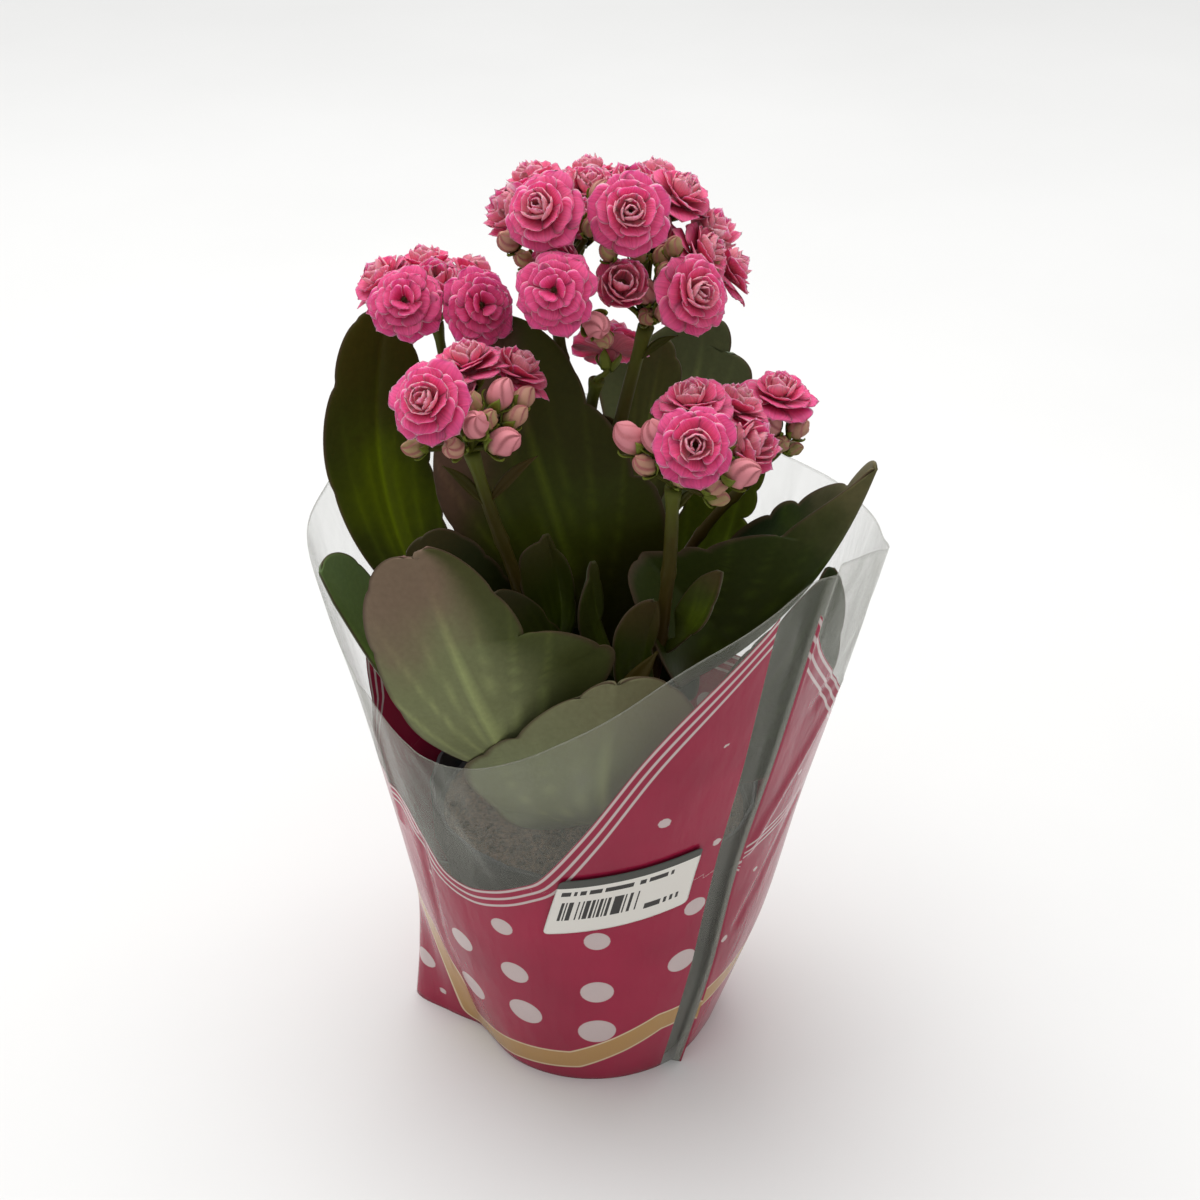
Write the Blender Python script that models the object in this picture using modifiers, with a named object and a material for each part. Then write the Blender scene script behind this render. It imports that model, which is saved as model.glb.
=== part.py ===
"""A double-flowered kalanchoe in a 10.5 cm nursery pot, standing in its printed film sleeve.

Sizes are in millimetres and turned to metres by MM. The origin is the middle of the pot's foot on the
surface it stands on, +Z is up, and the front of the sleeve faces -Y. A heading is an angle seen from
above: 0 is the front, +90 the right (+X), -90 the left and 180 the back.
"""

import math
from typing import NamedTuple

import bmesh
import bpy
import numpy as np
from mathutils import Matrix, Vector

MM = 0.001
GAP = 0.35  # clearance between pieces that touch
WELD = 0.01  # points closer than this are one

# Pot, a common 10.5 cm nursery pot: it stands on an outer foot ring and a foot in the middle
POT_RIM_R = 52.5
POT_FOOT_R = 34.5
POT_H = 95.0
POT_WALL = 1.3
COLLAR_H = 13.0
COLLAR_STEP = 2.2
FOOT_RECESS = 3.0
FOOT_RING_W = 3.0
MIDDLE_FOOT_R = 12.0
DRAIN_R = 4.0
DRAIN_RING_R = 23.0
DRAINS = 6
POT_SIDES = 24

# Potting mix
SOIL_TOP = 85.0
SOIL_MOUND = 4.0
SOIL_SIDES = 18
ROOT_END_Z = 72.0  # how far down the stems stand in the mix

# Film sleeve: its inner radius at some headings (across) and heights (down), smooth in between
FILM = 0.6
SEAM_HEADING = 46.0
SEAM_HALF_ANGLE = 3.0
SEAM_FIN = 3.0  # how far the welded seam stands out
FIN_HEADING = -97.0
SLEEVE_HEADINGS = (-180, -140, -108, -97, -86, -74, -40, -10, 20, 46, 70, 92, 135, 180)
SLEEVE_HEIGHTS = (0, 22, 50, 95, 140, 190)
SLEEVE_RADII = (
    (41, 43, 49, 61.5, 49, 39, 37.0, 36.0, 36.0, 37, 38, 41, 42, 41),
    (45, 47, 52, 59.5, 52, 46, 43.0, 42.0, 42.0, 43, 45, 48, 47, 45),
    (51, 53, 56, 59.0, 57, 54, 50, 48.5, 48.5, 50, 53, 57.0, 54, 51),
    (59, 60, 63, 65.5, 65, 63.5, 60, 57.5, 57.5, 59, 63, 66.5, 64, 59),
    (68, 69, 72, 75, 74, 73, 71.5, 70, 69, 71, 74.5, 77.0, 75, 68),
    (80, 82, 85, 87.0, 87, 86, 84, 82, 81, 83.5, 86, 87.5, 86, 80),
)
RIM_HEADINGS = (-180, -140, -97, -75, -58, -42, -30, -16, -6, 6, 20, 34, 46, 54, 62, 70, 80, 92, 135, 180)
RIM_HEIGHTS = (192, 196, 185, 166, 152, 142, 144, 153, 162, 173, 188, 199, 208, 207, 203, 197, 190, 184, 182, 192)
SLEEVE_COLUMNS = 48
SLEEVE_ROWS = 7

# Price label on the sleeve
LABEL_HEADING = 8.0
LABEL_Z = 93.0
LABEL_W = 42.0
LABEL_H = 26.0
LABEL_TURN = 11.0
LABEL_THICK = 0.6

# A double bloom, open and half open: (radius, height) of each ring of petals' margins and valleys
OPEN_R = 11.6
OPEN_RINGS = ((2.2, 0), (2.8, 3.0), (OPEN_R, 5.2), (6.0, 6.4), (9.4, 8.4), (4.4, 8.6), (6.2, 10.8), (2.6, 10.6))
HALF_R = 7.6
HALF_RINGS = ((2.2, 0), (3.6, 3.0), (HALF_R, 8.6), (5.2, 8.6), (6.4, 11.0), (4.0, 10.6), (4.4, 12.6), (2.2, 12.4))
PETALS_ROUND = 5
BLOOM_TOP = 12.6
BLOOM_MIDDLE = 6.5  # height at which a bloom is placed
NOTCH = 0.8  # radius share between two petals of one ring
MARGIN_RINGS = (2, 4, 6)
BLOOM_REACH = 29.0  # blooms further apart than this can't touch


class Shoot(NamedTuple):
    """Stalk as a smooth line through its points, with its radius at both ends."""

    points: tuple
    foot_r: float
    top_r: float


class Bloom(NamedTuple):
    """Double bloom: the middle of its dome, the way it faces, and whether it is half open."""

    at: tuple
    faces: tuple
    half_open: bool = False


class Head(NamedTuple):
    """Flower head: the shoot whose end carries it, its blooms, and its buds as (place, length)."""

    stem: str
    shoot: int
    blooms: tuple
    buds: tuple


class Leaf(NamedTuple):
    """Leaf: its stem, its foot on that stem, the midrib's curve after the foot and the blade's form."""

    stem: str
    foot_z: float
    heading: float
    midrib: tuple
    half_width: float
    faces: tuple
    fold: float  # degrees that each half rises towards the side it faces
    petiole: float = 0.2  # share of the length
    widest: float = 0.5  # share of the blade at which it is widest
    shear: float = 0.0  # how far one half is pulled towards the tip and the other towards the stem
    lobes: int = 5
    columns: int = 4


STEMS = {
    "stem_left": (
        Shoot(
            (
                (-14, -4, ROOT_END_Z), (-15, -7, 110), (-17, -12, 150),
                (-22, -23, 182), (-28, -31, 208), (-33, -36, 231),
            ),
            3.6,
            1.9,
        ),
        Shoot(((-16, -9, 134), (-26, 10, 166), (-37, 20, 206), (-44, 24, 230), (-46, 25, 242)), 2.4, 1.6),
    ),
    "stem_back": (
        Shoot(
            ((2, 14, ROOT_END_Z), (3, 13, 120), (4, 12, 170), (6, 10, 205), (10, 7, 228), (15, 2, 251)),
            3.6,
            2.0,
        ),
        Shoot(((3, 12, 140), (-2, 14, 190), (-7, 15, 225), (-10, 15, 243), (-9, 9, 259)), 2.6, 1.9),
        Shoot(((3.5, 12, 150), (1, 17, 190), (-1, 16, 215), (1, 13, 229)), 2.6, 2.0),
    ),
    "stem_right": (
        Shoot(
            (
                (14, -6, ROOT_END_Z), (15, -10, 110), (17, -17, 140),
                (19.5, -29, 168), (21.5, -35, 195), (22, -40, 222),
            ),
            3.6,
            2.0,
        ),
        Shoot(((17, -13, 132), (20, 2, 152), (26, 6, 170), (35, 4, 187), (46, 0, 203), (53, 0, 213)), 2.2, 1.6),
    ),
}

HEADS = {
    "top_left": Head(
        "stem_back",
        1,
        (
            Bloom((-13.5, -12, 291), (-0.3, -0.7, 0.65)),
            Bloom((-17, 20, 287), (-0.4, 0.1, 0.9)),
            Bloom((-1, 30, 285), (-0.1, 0.3, 0.95)),
            Bloom((-23.5, 6, 284), (-0.85, -0.2, 0.5), True),
            Bloom((-10, -27, 274), (-0.1, -0.85, 0.5)),
            Bloom((-10, -9.5, 274), (-0.1, -0.65, 0.75), True),
        ),
        (((-23, -7, 280), 8), ((-19, -7, 275), 7), ((1, -22, 262), 10), ((3, -20, 257), 7), ((-5, -3, 288), 8)),
    ),
    "left": Head(
        "stem_left",
        1,
        (
            Bloom((-53, 6, 257), (-0.1, -0.8, 0.6)),
            Bloom((-61, 24, 256), (-0.6, -0.1, 0.8)),
            Bloom((-49, 32, 257), (-0.1, 0.2, 1.0)),
            Bloom((-36, 37, 252), (0.4, 0.4, 0.8)),
            Bloom((-32, 7, 255), (0.35, -0.75, 0.5)),
        ),
        (),
    ),
    "front_left": Head(
        "stem_left",
        0,
        (
            Bloom((-43.5, -46, 251), (-0.35, -0.75, 0.6)),
            Bloom((-34, -22, 251), (-0.1, 0.1, 1.0)),
            Bloom((-21, -14, 245), (0.5, 0.1, 0.85)),
        ),
        (
            ((-25, -32, 246), 10),
            ((-19, -28, 243), 8),
            ((-21, -33, 240), 8),
            ((-31, -46, 244), 10),
            ((-37, -46, 237), 8),
            ((-24, -40, 236), 11),
            ((-48, -42, 235), 7),
        ),
    ),
    "front_right": Head(
        "stem_right",
        0,
        (
            Bloom((27, -52, 241), (0.0, -0.85, 0.5)),
            Bloom((27, -28, 242), (-0.15, -0.1, 1.0)),
            Bloom((40, -16, 235), (0.4, 0.1, 0.9)),
            Bloom((44, -36, 233), (0.75, -0.4, 0.5), True),
        ),
        (
            ((10, -40, 237), 11),
            ((17, -43, 239), 11),
            ((14, -44, 231), 8),
            ((40, -47, 230), 11),
            ((24, -44, 227), 7),
            ((33, -44, 225), 8),
            ((34, -40, 219), 7),
        ),
    ),
    "right": Head(
        "stem_right",
        1,
        (Bloom((53.5, 2, 230), (0.1, -0.1, 1.0)),),
        (((51, -4, 223), 9), ((46, 2, 225), 8), ((59, -4, 222), 8), ((54, -6, 218), 7), ((58, -1, 214), 6)),
    ),
    "top_right": Head(
        "stem_back",
        0,
        (
            Bloom((10, -12, 290), (0.05, -0.85, 0.5)),
            Bloom((18, 33, 283), (0.15, 0.3, 0.95)),
            Bloom((24.5, 13, 286), (0.5, -0.1, 0.85)),
            Bloom((31, 5, 272), (0.8, -0.2, 0.55)),
            Bloom((39, 20, 261), (0.85, 0.1, 0.5)),
            Bloom((28, -15, 268), (0.45, -0.75, 0.45)),
            Bloom((8, -15, 271), (0.1, -0.75, 0.65), True),
        ),
        (((15, -6, 265), 9), ((15, -7, 258), 7), ((20, -11, 261), 8), ((22, -6, 278), 7), ((19, -5, 275), 7)),
    ),
    "top_low": Head("stem_back", 2, (Bloom((5, 18, 239), (0.1, 0.75, 0.65)),), ()),
}

LEAVES = {
    "back_left": Leaf(
        "stem_left", 118, -110, ((-42, 6, 135), (-76, 12, 178), (-63, 42, 236)), 20, (0.35, -0.8, 0.5), 8
    ),
    "middle": Leaf(
        "stem_back", 132, 0, ((1, -6, 148), (-12, -18, 200), (-27, 13, 247)), 32, (0.1, -0.9, 0.4), 5, 0.3
    ),
    "back_right": Leaf(
        "stem_back", 160, 150, ((15, 36, 187), (36, 52, 196), (34, 61, 231)), 19, (-0.15, -0.85, 0.5), 8
    ),
    "back_inner": Leaf(
        "stem_back", 165, 110, ((14, 20, 178), (15, 32, 205), (22, 38, 232)), 10, (-0.1, -0.9, 0.4), 8
    ),
    "far_right": Leaf(
        "stem_back", 128, 80, ((26, 17, 131), (44, 27, 156), (48, 30, 204)), 16, (0.0, -0.85, 0.5), 8
    ),
    "right": Leaf(
        "stem_right",
        136,
        100,
        ((30, -8, 141), (62, -18, 160), (80, -8, 208)),
        34,
        (0.0, 0.45, 0.9),
        55,
        widest=0.33,
    ),
    "front_left": Leaf(
        "stem_left",
        110,
        -10,
        ((-18, -40, 112), (-30, -70, 156), (-46, -60, 211)),
        33,
        (-0.12, 0.95, 0.25),
        16,
        petiole=0.42,
        widest=0.55,
        shear=0.6,
    ),
    "front": Leaf(
        "stem_right", 106, 0, ((8, -40, 100), (-2, -69, 120), (6, -61, 167)), 34, (0.0, 0.95, 0.3), 14
    ),
    "left": Leaf(
        "stem_left", 106, -75, ((-38, -18, 106), (-59, -18, 135), (-76, -21, 175)), 13, (0.5, -0.2, 0.75), 8
    ),
    "left_inner": Leaf(
        "stem_left", 140, -50, ((-27, -23, 150), (-40, -31, 172), (-52, -24, 188)), 12, (0.2, -0.7, 0.7), 8
    ),
    "low_middle": Leaf(
        "stem_back",
        112,
        -5,
        ((0, -4, 124), (-2, -24, 133), (-1, -42, 142)),
        11,
        (0.0, -0.4, 0.9),
        8,
        lobes=3,
        columns=2,
    ),
    "sprout_middle": Leaf(
        "stem_right",
        140,
        -70,
        ((4, -20, 150), (1, -22, 165), (-1, -21, 186)),
        3.5,
        (0.6, -0.8, 0.0),
        10,
        lobes=3,
        columns=2,
    ),
    "sprout_right": Leaf(
        "stem_right",
        142,
        20,
        ((16, -34, 144), (11, -40, 156), (17, -36, 178)),
        10,
        (0.3, -0.8, 0.5),
        15,
        lobes=3,
        columns=2,
    ),
    "sprout_far": Leaf(
        "stem_right",
        163,
        60,
        ((28, -36, 170), (33, -38, 180), (36, -36, 193)),
        5,
        (-0.5, -0.7, 0.4),
        15,
        lobes=3,
        columns=2,
    ),
    "sprout_holed": Leaf(
        "stem_left",
        150,
        85,
        ((-8, -16, 156), (-8, -21, 172), (-12, -20, 190)),
        6.5,
        (0.1, -0.9, 0.4),
        12,
        lobes=3,
        columns=2,
    ),
    "sprout_left": Leaf(
        "stem_left",
        136,
        20,
        ((-9, -26, 146), (-13, -34, 163), (-29, -33, 183)),
        10,
        (0.4, -0.6, 0.7),
        12,
        lobes=3,
        columns=2,
    ),
}
PETIOLE_HALF_W = 2.2
TIP_HALF_W = 1.6
CRENATE_DEPTH = 0.09
LEAF_THICK = 1.5
LEAF_STANDOFF = 1.7  # from the stem's surface to the middle of the petiole's end

STEM_STEP = 9.0  # spacing of a stalk's points
PEDICEL_R = 0.8
PEDICEL_FOOT_R = 1.1
BEND = 0.35  # share of a pedicel's reach that its curve's handles take
CALYX_R = 2.0
CALYX_H = 2.0
BUD_SHAPE = ((0.0, 0.35), (0.25, 0.85), (0.5, 1.0), (0.8, 0.75), (1.0, 0.2))
BUD_SLENDER = 0.36  # a bud's greatest radius as a share of its length


def heading_vector(heading):
    """Level unit vector that points along a heading."""
    a = math.radians(heading)
    return Vector((math.sin(a), -math.cos(a), 0.0))


def smooth_between(stations, values, x):
    """Value at x on a smooth curve through the stations."""
    k = int(np.clip(np.searchsorted(stations, x, side="right") - 1, 0, len(stations) - 2))
    span = stations[k + 1] - stations[k]
    t = (x - stations[k]) / span
    slopes = []
    for i in (k, k + 1):
        lo, hi = max(i - 1, 0), min(i + 1, len(stations) - 1)
        slopes.append((values[hi] - values[lo]) * (span / (stations[hi] - stations[lo])))
    start = (2 * t**3 - 3 * t**2 + 1) * values[k] + (t**3 - 2 * t**2 + t) * slopes[0]
    return start + (-2 * t**3 + 3 * t**2) * values[k + 1] + (t**3 - t**2) * slopes[1]


def bezier(points, t):
    """Point of a cubic Bezier curve."""
    a, b, c, d = points
    s = 1.0 - t
    return a * s**3 + b * (3 * s * s * t) + c * (3 * s * t * t) + d * t**3


def bezier_tangent(points, t):
    """Unit tangent of a cubic Bezier curve."""
    a, b, c, d = points
    s = 1.0 - t
    return ((b - a) * s * s + (c - b) * (2 * s * t) + (d - c) * t * t).normalized()


def clear_scene():
    """Remove every object that the file starts with."""
    for obj in list(bpy.data.objects):
        bpy.data.objects.remove(obj)


def new_collection(name):
    """Collection linked to the scene."""
    collection = bpy.data.collections.new(name)
    bpy.context.scene.collection.children.link(collection)
    return collection


def material(name, colour, roughness):
    """Principled material with one plain colour."""
    mat = bpy.data.materials.new(name)
    mat.use_nodes = True
    shader = mat.node_tree.nodes["Principled BSDF"]
    shader.inputs["Base Color"].default_value = (*colour, 1.0)
    shader.inputs["Roughness"].default_value = roughness
    mat.diffuse_color = (*colour, 1.0)
    return mat


def mesh_object(name, bm, mat, collection):
    """Object that holds the bmesh, shaded smooth."""
    mesh = bpy.data.meshes.new(name)
    bm.to_mesh(mesh)
    bm.free()
    mesh.shade_smooth()
    mesh.materials.append(mat)
    obj = bpy.data.objects.new(name, mesh)
    collection.objects.link(obj)
    return obj


def turned(name, profile, steps, mat, collection):
    """Solid of revolution about +Z from a profile of (radius, height) points that ends on the axis."""
    bm = bmesh.new()
    points = [bm.verts.new((r * MM, 0.0, z * MM)) for r, z in profile]
    for a, b in zip(points, points[1:]):
        bm.edges.new((a, b))
    obj = mesh_object(name, bm, mat, collection)
    screw = obj.modifiers.new("turn", "SCREW")
    screw.steps = screw.render_steps = steps
    screw.use_merge_vertices = True
    screw.merge_threshold = WELD * MM
    screw.use_smooth_shade = True
    return obj


def subtract(obj, name, cutters):
    """Cut every object of the cutters' collection from obj."""
    cut = obj.modifiers.new(name, "BOOLEAN")
    cut.operation = "DIFFERENCE"
    cut.operand_type = "COLLECTION"
    cut.collection = cutters
    cut.solver = "EXACT"


def cone_cutter(name, radii, foot, top, sides, cutters):
    """Cutter: a cone between two points with a radius at each."""
    bm = bmesh.new()
    axis = top - foot
    bmesh.ops.create_cone(
        bm, cap_ends=True, segments=sides, radius1=radii[0], radius2=radii[1], depth=axis.length
    )
    turn = axis.to_track_quat("Z", "Y").to_matrix().to_4x4()
    bm.transform(Matrix.Scale(MM, 4) @ Matrix.Translation((foot + top) / 2) @ turn)
    mesh = bpy.data.meshes.new(name)
    bm.to_mesh(mesh)
    bm.free()
    obj = bpy.data.objects.new(name, mesh)
    obj.hide_render = True
    obj.display_type = "WIRE"
    cutters.objects.link(obj)
    return obj


def build_pot(mat, collection):
    """Nursery pot: a tapered wall with a collar, two feet and a ring of drain holes between them."""
    body_top_r = POT_RIM_R - COLLAR_STEP
    collar_z = POT_H - COLLAR_H
    floor_z = FOOT_RECESS + POT_WALL
    profile = (
        (0.0, 0.0),
        (MIDDLE_FOOT_R, 0.0),
        (MIDDLE_FOOT_R + 1.0, FOOT_RECESS),
        (POT_FOOT_R - FOOT_RING_W - 1.0, FOOT_RECESS),
        (POT_FOOT_R - FOOT_RING_W, 0.0),
        (POT_FOOT_R - 0.8, 0.0),
        (POT_FOOT_R, 0.8),
        (body_top_r, collar_z - 0.6),
        (POT_RIM_R - 0.6, collar_z),
        (POT_RIM_R, POT_H - 0.5),
        (POT_RIM_R - 0.4, POT_H),
        (POT_RIM_R - POT_WALL, POT_H),
        (POT_RIM_R - POT_WALL - 0.7, collar_z + 1.6),
        (body_top_r - POT_WALL, collar_z + 0.2),
        (POT_FOOT_R - POT_WALL, floor_z),
        (0.0, floor_z),
    )
    obj = turned("pot", profile, POT_SIDES, mat, collection)
    cutters = new_collection("drain_cutters")
    for k in range(DRAINS):
        a = math.tau * k / DRAINS
        foot = Vector((DRAIN_RING_R * math.cos(a), DRAIN_RING_R * math.sin(a), FOOT_RECESS - 2))
        top = foot + Vector((0, 0, POT_WALL + 4))
        cone_cutter(f"drain_cutter_{k + 1}", (DRAIN_R, DRAIN_R), foot, top, 8, cutters)
    subtract(obj, "drains", cutters)
    return obj


def build_soil(mat, collection):
    """Potting mix: it fills the pot to a low mound, with a plain hole for each stem."""
    clear = GAP / math.cos(math.pi / SOIL_SIDES)
    floor_z = FOOT_RECESS + POT_WALL + GAP
    collar_z = POT_H - COLLAR_H
    inner_top_r = POT_RIM_R - COLLAR_STEP - POT_WALL
    mound = [(52, 0.0), (38, 0.25), (24, 0.8), (9, 1.0)]
    edge_r = inner_top_r - clear - 0.2
    profile = [(0.0, floor_z), (POT_FOOT_R - POT_WALL - clear - 0.6, floor_z), (edge_r, collar_z)]
    profile += [(min(r, edge_r + 0.3), SOIL_TOP + SOIL_MOUND * share) for r, share in mound]
    profile.append((0.0, SOIL_TOP + SOIL_MOUND))
    obj = turned("potting_mix", profile, SOIL_SIDES, mat, collection)
    cutters = new_collection("stem_hole_cutters")
    for name, shoots in STEMS.items():
        foot, upper = Vector(shoots[0].points[0]), Vector(shoots[0].points[1])
        foot.z -= GAP
        r = shoots[0].foot_r + GAP + 0.3
        cone_cutter(f"{name}_hole_cutter", (r, r), foot, upper, 12, cutters)
    subtract(obj, "stem_holes", cutters)
    return obj


def sleeve_radius(heading, height):
    """Inner radius of the film at a heading and a height."""
    around = [smooth_between(SLEEVE_HEADINGS, row, heading) for row in SLEEVE_RADII]
    radius = smooth_between(SLEEVE_HEIGHTS, around, min(height, 205.0))
    return radius + SEAM_FIN * max(0.0, 1.0 - abs(heading - SEAM_HEADING) / SEAM_HALF_ANGLE)


def rim_height(heading):
    """Height of the film's cut edge at a heading."""
    return smooth_between(RIM_HEADINGS, RIM_HEIGHTS, heading)


def sleeve_headings():
    """Headings of the film's columns: even, with the seam and the corner on columns of their own."""
    even = np.linspace(-180.0, 180.0, SLEEVE_COLUMNS + 1)
    for mark in (SEAM_HEADING - SEAM_HALF_ANGLE, SEAM_HEADING, SEAM_HEADING + SEAM_HALF_ANGLE, FIN_HEADING):
        even[np.abs(even - mark).argmin()] = mark
    return np.sort(even)


def build_sleeve(mat, collection):
    """Film sleeve: an open tapered tube with a swept rim, a corner that stands off the pot and a seam."""
    headings = sleeve_headings()
    bm = bmesh.new()
    bmesh.ops.create_grid(bm, x_segments=SLEEVE_COLUMNS, y_segments=SLEEVE_ROWS, size=1.0)
    for v in bm.verts:
        column = round((v.co.x + 1) / 2 * SLEEVE_COLUMNS)
        heading = headings[column]
        height = (v.co.y + 1) / 2 * rim_height(heading)
        v.co = (heading_vector(heading) * sleeve_radius(heading, height) + Vector((0, 0, height))) * MM
    bmesh.ops.remove_doubles(bm, verts=bm.verts, dist=WELD * MM)
    bmesh.ops.triangulate(bm, faces=bm.faces)
    obj = mesh_object("sleeve", bm, mat, collection)
    wall = obj.modifiers.new("film", "SOLIDIFY")
    wall.thickness = FILM * MM
    wall.offset = 1.0
    return obj


def build_label(mat, collection):
    """Price label: a thin patch that follows the front of the sleeve."""
    columns, rows = 7, 3
    bm = bmesh.new()
    bmesh.ops.create_grid(bm, x_segments=columns, y_segments=rows, size=0.5)
    turn = math.radians(LABEL_TURN)
    radius = sleeve_radius(LABEL_HEADING, LABEL_Z)
    for v in bm.verts:
        x, y = v.co.x * LABEL_W, v.co.y * LABEL_H
        across = x * math.cos(turn) - y * math.sin(turn)
        height = LABEL_Z + x * math.sin(turn) + y * math.cos(turn)
        heading = LABEL_HEADING + math.degrees(across / radius)
        reach = sleeve_radius(heading, height) + FILM + GAP + 0.5
        v.co = (heading_vector(heading) * reach + Vector((0, 0, height))) * MM
    bmesh.ops.triangulate(bm, faces=bm.faces)
    obj = mesh_object("price_label", bm, mat, collection)
    sheet = obj.modifiers.new("sheet", "SOLIDIFY")
    sheet.thickness = LABEL_THICK * MM
    sheet.offset = 1.0
    return obj


def line_through(points, share):
    """Point of a smooth line through the given points, at a share of its height from foot to top."""
    heights = [p[2] for p in points]
    z = heights[0] + share * (heights[-1] - heights[0])
    x, y = (smooth_between(heights, [p[axis] for p in points], z) for axis in (0, 1))
    return Vector((x, y, z))


def stem_point(stem, z):
    """Middle and radius of a stem's first shoot at a height."""
    shoot = STEMS[stem][0]
    heights = [p[2] for p in shoot.points]
    share = (z - heights[0]) / (heights[-1] - heights[0])
    return line_through(shoot.points, share), shoot.foot_r + (shoot.top_r - shoot.foot_r) * share


def tube(name, points, radii, sides):
    """Curve object for a closed tube along the points, with a radius at each."""
    curve = bpy.data.curves.new(name, "CURVE")
    curve.dimensions = "3D"
    curve.bevel_depth = MM
    curve.bevel_resolution = (sides - 4) // 2
    curve.use_fill_caps = True
    spline = curve.splines.new("POLY")
    spline.points.add(len(points) - 1)
    for p, at, r in zip(spline.points, points, radii):
        p.co = (*(at * MM), 1.0)
        p.radius = r
    return bpy.data.objects.new(name, curve)


def as_meshes(tubes, collection):
    """Mesh objects of the tubes, each closed and facing out, in the tubes' own order."""
    for obj in tubes:
        collection.objects.link(obj)
    graph = bpy.context.evaluated_depsgraph_get()
    made = []
    for obj in tubes:
        mesh = bpy.data.meshes.new_from_object(obj.evaluated_get(graph))
        bm = bmesh.new()
        bm.from_mesh(mesh)
        bmesh.ops.remove_doubles(bm, verts=bm.verts, dist=WELD * MM / 5)
        bmesh.ops.recalc_face_normals(bm, faces=bm.faces)
        bm.to_mesh(mesh)
        bm.free()
        made.append((obj.name, mesh))
    for obj in tubes:
        bpy.data.objects.remove(obj)
    return [bpy.data.objects.new(name, mesh) for name, mesh in made]


def pedicel(hub, end, faces, shares):
    """Points, at shares of its length, of a pedicel from the hub that bends into the way its flower faces."""
    reach = (end - hub).length
    away = (end - hub).normalized()
    rising = (away + Vector((0, 0, 1.0))).normalized()
    curve = (hub, hub + rising * (reach * BEND), end - faces * (reach * BEND), end)
    return [bezier(curve, t) for t in shares]


def shoot_tube(name, shoot):
    """Tube of a stalk, thinner towards its top."""
    length = (Vector(shoot.points[-1]) - Vector(shoot.points[0])).length
    count = max(4, round(length / STEM_STEP))
    shares = [k / count for k in range(count + 1)]
    points = [line_through(shoot.points, s) for s in shares]
    radii = [shoot.foot_r + (shoot.top_r - shoot.foot_r) * s for s in shares]
    return tube(name, points, radii, 6)


def flower_stalk_tube(name, hub, bloom):
    """Tube of a bloom's pedicel, with its calyx as a wider end under the bloom."""
    faces = Vector(bloom.faces).normalized()
    end = Vector(bloom.at) - faces * (BLOOM_MIDDLE + GAP)
    points = pedicel(hub, end - faces * CALYX_H, faces, (0.0, 0.45, 1.0)) + [end]
    return tube(name, points, [PEDICEL_FOOT_R, PEDICEL_R, PEDICEL_R + 0.3, CALYX_R], 4)


def bud_tube(name, hub, at, length):
    """Tube of a bud on its pedicel."""
    faces = (Vector(at) - hub).normalized()
    foot = Vector(at) - faces * (length / 2)
    points = pedicel(hub, foot, faces, (0.0, 0.5))
    radii = [PEDICEL_R] * len(points)
    points += [foot + faces * (length * share) for share, _ in BUD_SHAPE]
    radii += [length * BUD_SLENDER * r for _, r in BUD_SHAPE]
    return tube(name, points, radii, 6)


def build_stem(name, mat, collection):
    """Rooted stem with its stalks, pedicels, calyxes and buds, joined in one solid."""
    tubes = [shoot_tube(f"{name}_shoot_{k + 1}", shoot) for k, shoot in enumerate(STEMS[name])]
    for title, head in HEADS.items():
        if head.stem == name:
            hub = Vector(STEMS[name][head.shoot].points[-1])
            for k, bloom in enumerate(head.blooms):
                tubes.append(flower_stalk_tube(f"pedicel_{title}_{k + 1}", hub, bloom))
            for k, bud in enumerate(head.buds):
                tubes.append(bud_tube(f"bud_{title}_{k + 1}", hub, *bud))
    parts = new_collection(f"{name}_parts")
    obj, *others = as_meshes(tubes, parts)
    obj.name = name
    obj.data.materials.append(mat)
    obj.data.shade_smooth()
    collection.objects.link(obj)
    for other in others:
        other.hide_render = True
        other.display_type = "WIRE"
        parts.objects.link(other)
    join = obj.modifiers.new("join", "BOOLEAN")
    join.operation = "UNION"
    join.operand_type = "COLLECTION"
    join.collection = parts
    join.solver = "EXACT"
    return obj


def leaf_midrib(leaf):
    """Bezier points of a leaf's midrib, from just off its stem."""
    middle, r = stem_point(leaf.stem, leaf.foot_z)
    foot = middle + heading_vector(leaf.heading) * (r + LEAF_STANDOFF)
    return (foot, *(Vector(p) for p in leaf.midrib))


def leaf_half_width(leaf, along):
    """Half width of a leaf at a share of its length: a narrow petiole, then a broad blade with crenate edges."""
    if along <= leaf.petiole:
        return PETIOLE_HALF_W
    share = (along - leaf.petiole) / (1 - leaf.petiole)
    ends = PETIOLE_HALF_W + (TIP_HALF_W - PETIOLE_HALF_W) * share
    if share < leaf.widest:
        round_off = max(0.0, 1 - (1 - share / leaf.widest) ** 1.7) ** 0.6
    else:
        round_off = max(0.0, 1 - ((share - leaf.widest) / (1 - leaf.widest)) ** 2.5) ** 0.5
    blade = (leaf.half_width - ends) * round_off
    notch = abs(math.cos(math.pi * leaf.lobes * share)) ** 4
    return (ends + blade) * (1 - CRENATE_DEPTH * notch * min(1.0, 6 * (1 - share)))


def leaf_point(leaf, midrib, along, across):
    """Point of a leaf's middle surface, with across from -1 to 1 between its edges."""
    tangent = bezier_tangent(midrib, along)
    side = tangent.cross(Vector(leaf.faces)).normalized()
    up = side.cross(tangent)
    width = leaf_half_width(leaf, along)
    rise = math.radians(leaf.fold) * min(1.0, max(0.0, (along - leaf.petiole) * 4))
    offset = side * (across * math.cos(rise)) + up * (abs(across) ** 1.3 * math.sin(rise))
    offset += tangent * (leaf.shear * across * min(1.0, max(0.0, 1.0 - along) * 4))
    return bezier(midrib, along) + offset * width


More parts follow.
